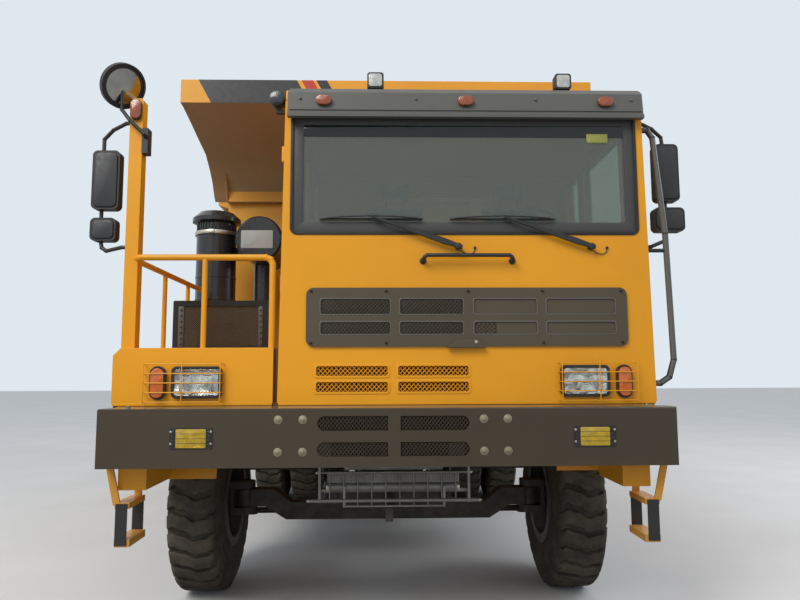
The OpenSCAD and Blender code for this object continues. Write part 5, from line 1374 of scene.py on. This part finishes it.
def fit_seats():
    first = SEATS[0][1]
    pads = [pad(size, at(first, s, SEAT_Z + up), tilt) for name, size, s, up, tilt in PADS]
    shown = []
    for side, x in SEATS:
        for source, row in zip(pads, PADS):
            piece = copied(source, (x - first, 0, 0))
            settle(piece, "%s_%s" % (row[0], side), "seat_cloth", angle=60)
            shown.append(piece)
        stand = [block(span(x, half), s, z, soften) for half, s, z, soften in STAND]
        for post in span(x, 0.07):
            stand.append(rod(at(post, 1.40, SEAT_Z + 0.70), at(post, 1.42, SEAT_Z + 0.79), 0.007))
        shown.append(settle(stand, "seat_stand_" + side, "black_plastic"))
    for source in pads:
        bpy.data.objects.remove(source)
    for piece in shown:
        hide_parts("seats")


def fit_dashboard():
    """The binnacle with three dials."""
    parts = [block((0.66, 1.30), (0.525, 0.545), (2.415, 2.470), 0.008)]
    for x in (0.82, 0.98, 1.14):
        parts.append(turned([(0.0, 0.050), (-0.008, 0.052), (-0.010, 0.046), (-0.004, 0.044), (-0.004, 0.0)],
                            at(x, 0.545, 2.452), BACK, 32))
    settle(parts, "dash_dials", "grey_plastic")


# floor, sky and lights
FLOOR_SIZE = 120
FLOOR_BOUNCE = (0.36, 0.35, 0.33)
SKY_GLOW = (0.86, 0.92, 1.0)
SKY_LIGHT = 0.72
SKY_SEEN = (0.74, 0.81, 0.86)
LIGHTS = (
    # name, place, aim, power, colour
    ("key", (-7, FRONT - 9, 12), (0, FRONT + 1, 2), 1500, (1.0, 0.97, 0.92)),
    ("fill", (12, -2, 9), (0, 0, 1.5), 500, (0.95, 0.97, 1.0)),
)
LIGHT_SIZE = 8


def make_floor():
    """A pale floor to the camera, which throws back less light than it shows."""
    clear_selection()
    bpy.ops.mesh.primitive_plane_add(size=FLOOR_SIZE, location=(0, 0, 0))
    floor = bpy.context.object
    floor.name = "floor"
    f = Finish("floor_pale")
    seen = f.add("ShaderNodeLightPath").outputs["Is Camera Ray"]
    pale = f.mix(f.ramp(f.noise(0.8, 6), 0.35, 0.65), (0.70, 0.69, 0.67), (0.74, 0.73, 0.71))
    f.colour(f.mix(seen, FLOOR_BOUNCE, pale))
    f.set(roughness=0.9, specular_ior_level=0.1)
    floor.data.materials.append(f.material)


def make_world():
    """Soft sky light, and a pale sky for what is seen directly, in mirrors or through glass."""
    world = bpy.data.worlds.new("world")
    bpy.context.scene.world = world
    world.use_nodes = True
    sky = Nodes(world.node_tree)
    glow = sky.tree.nodes["Background"]
    glow.inputs["Color"].default_value = (*SKY_GLOW, 1)
    glow.inputs["Strength"].default_value = SKY_LIGHT
    shown = sky.add("ShaderNodeBackground", Color=(*SKY_SEEN, 1), Strength=1.0)
    rays = sky.add("ShaderNodeLightPath").outputs
    seen = sky.math("MAXIMUM", rays["Is Camera Ray"], rays["Is Glossy Ray"])
    seen = sky.math("MAXIMUM", seen, rays["Is Transmission Ray"])
    mixed = sky.add("ShaderNodeMixShader")
    for source, socket in zip((seen, glow.outputs[0], shown.outputs[0]), mixed.inputs):
        sky.join(source, socket)
    sky.join(mixed.outputs[0], sky.tree.nodes["World Output"].inputs["Surface"])


def make_lights():
    for name, place, aim, power, colour in LIGHTS:
        data = bpy.data.lights.new(name, "AREA")
        data.shape = "DISK"
        data.size = LIGHT_SIZE
        data.energy = power
        data.color = colour
        lamp = linked(name, data)
        lamp.location = place
        lamp.rotation_euler = (Vector(aim) - Vector(place)).to_track_quat("-Z", "Y").to_euler()


make_camera()
dress_nodes()
fit_sheet_metal()
fit_seams()
fit_tyres()
fit_wheel_trim()
fit_plates()
fit_meshes()
fit_bolts()
fit_headlamps()
fit_fog_lamps()
fit_lamp_guards()
fit_small_lamps()
fit_latch()
fit_wipers()
fit_visor()
fit_cab_sides()
fit_mirrors()
fit_stripes()
fit_cooler()
fit_radiator()
fit_air_cleaner()
fit_tank_details()
fit_seats()
fit_dashboard()
make_floor()
make_world()
make_lights()

bpy.context.scene.view_settings.view_transform = "Standard"
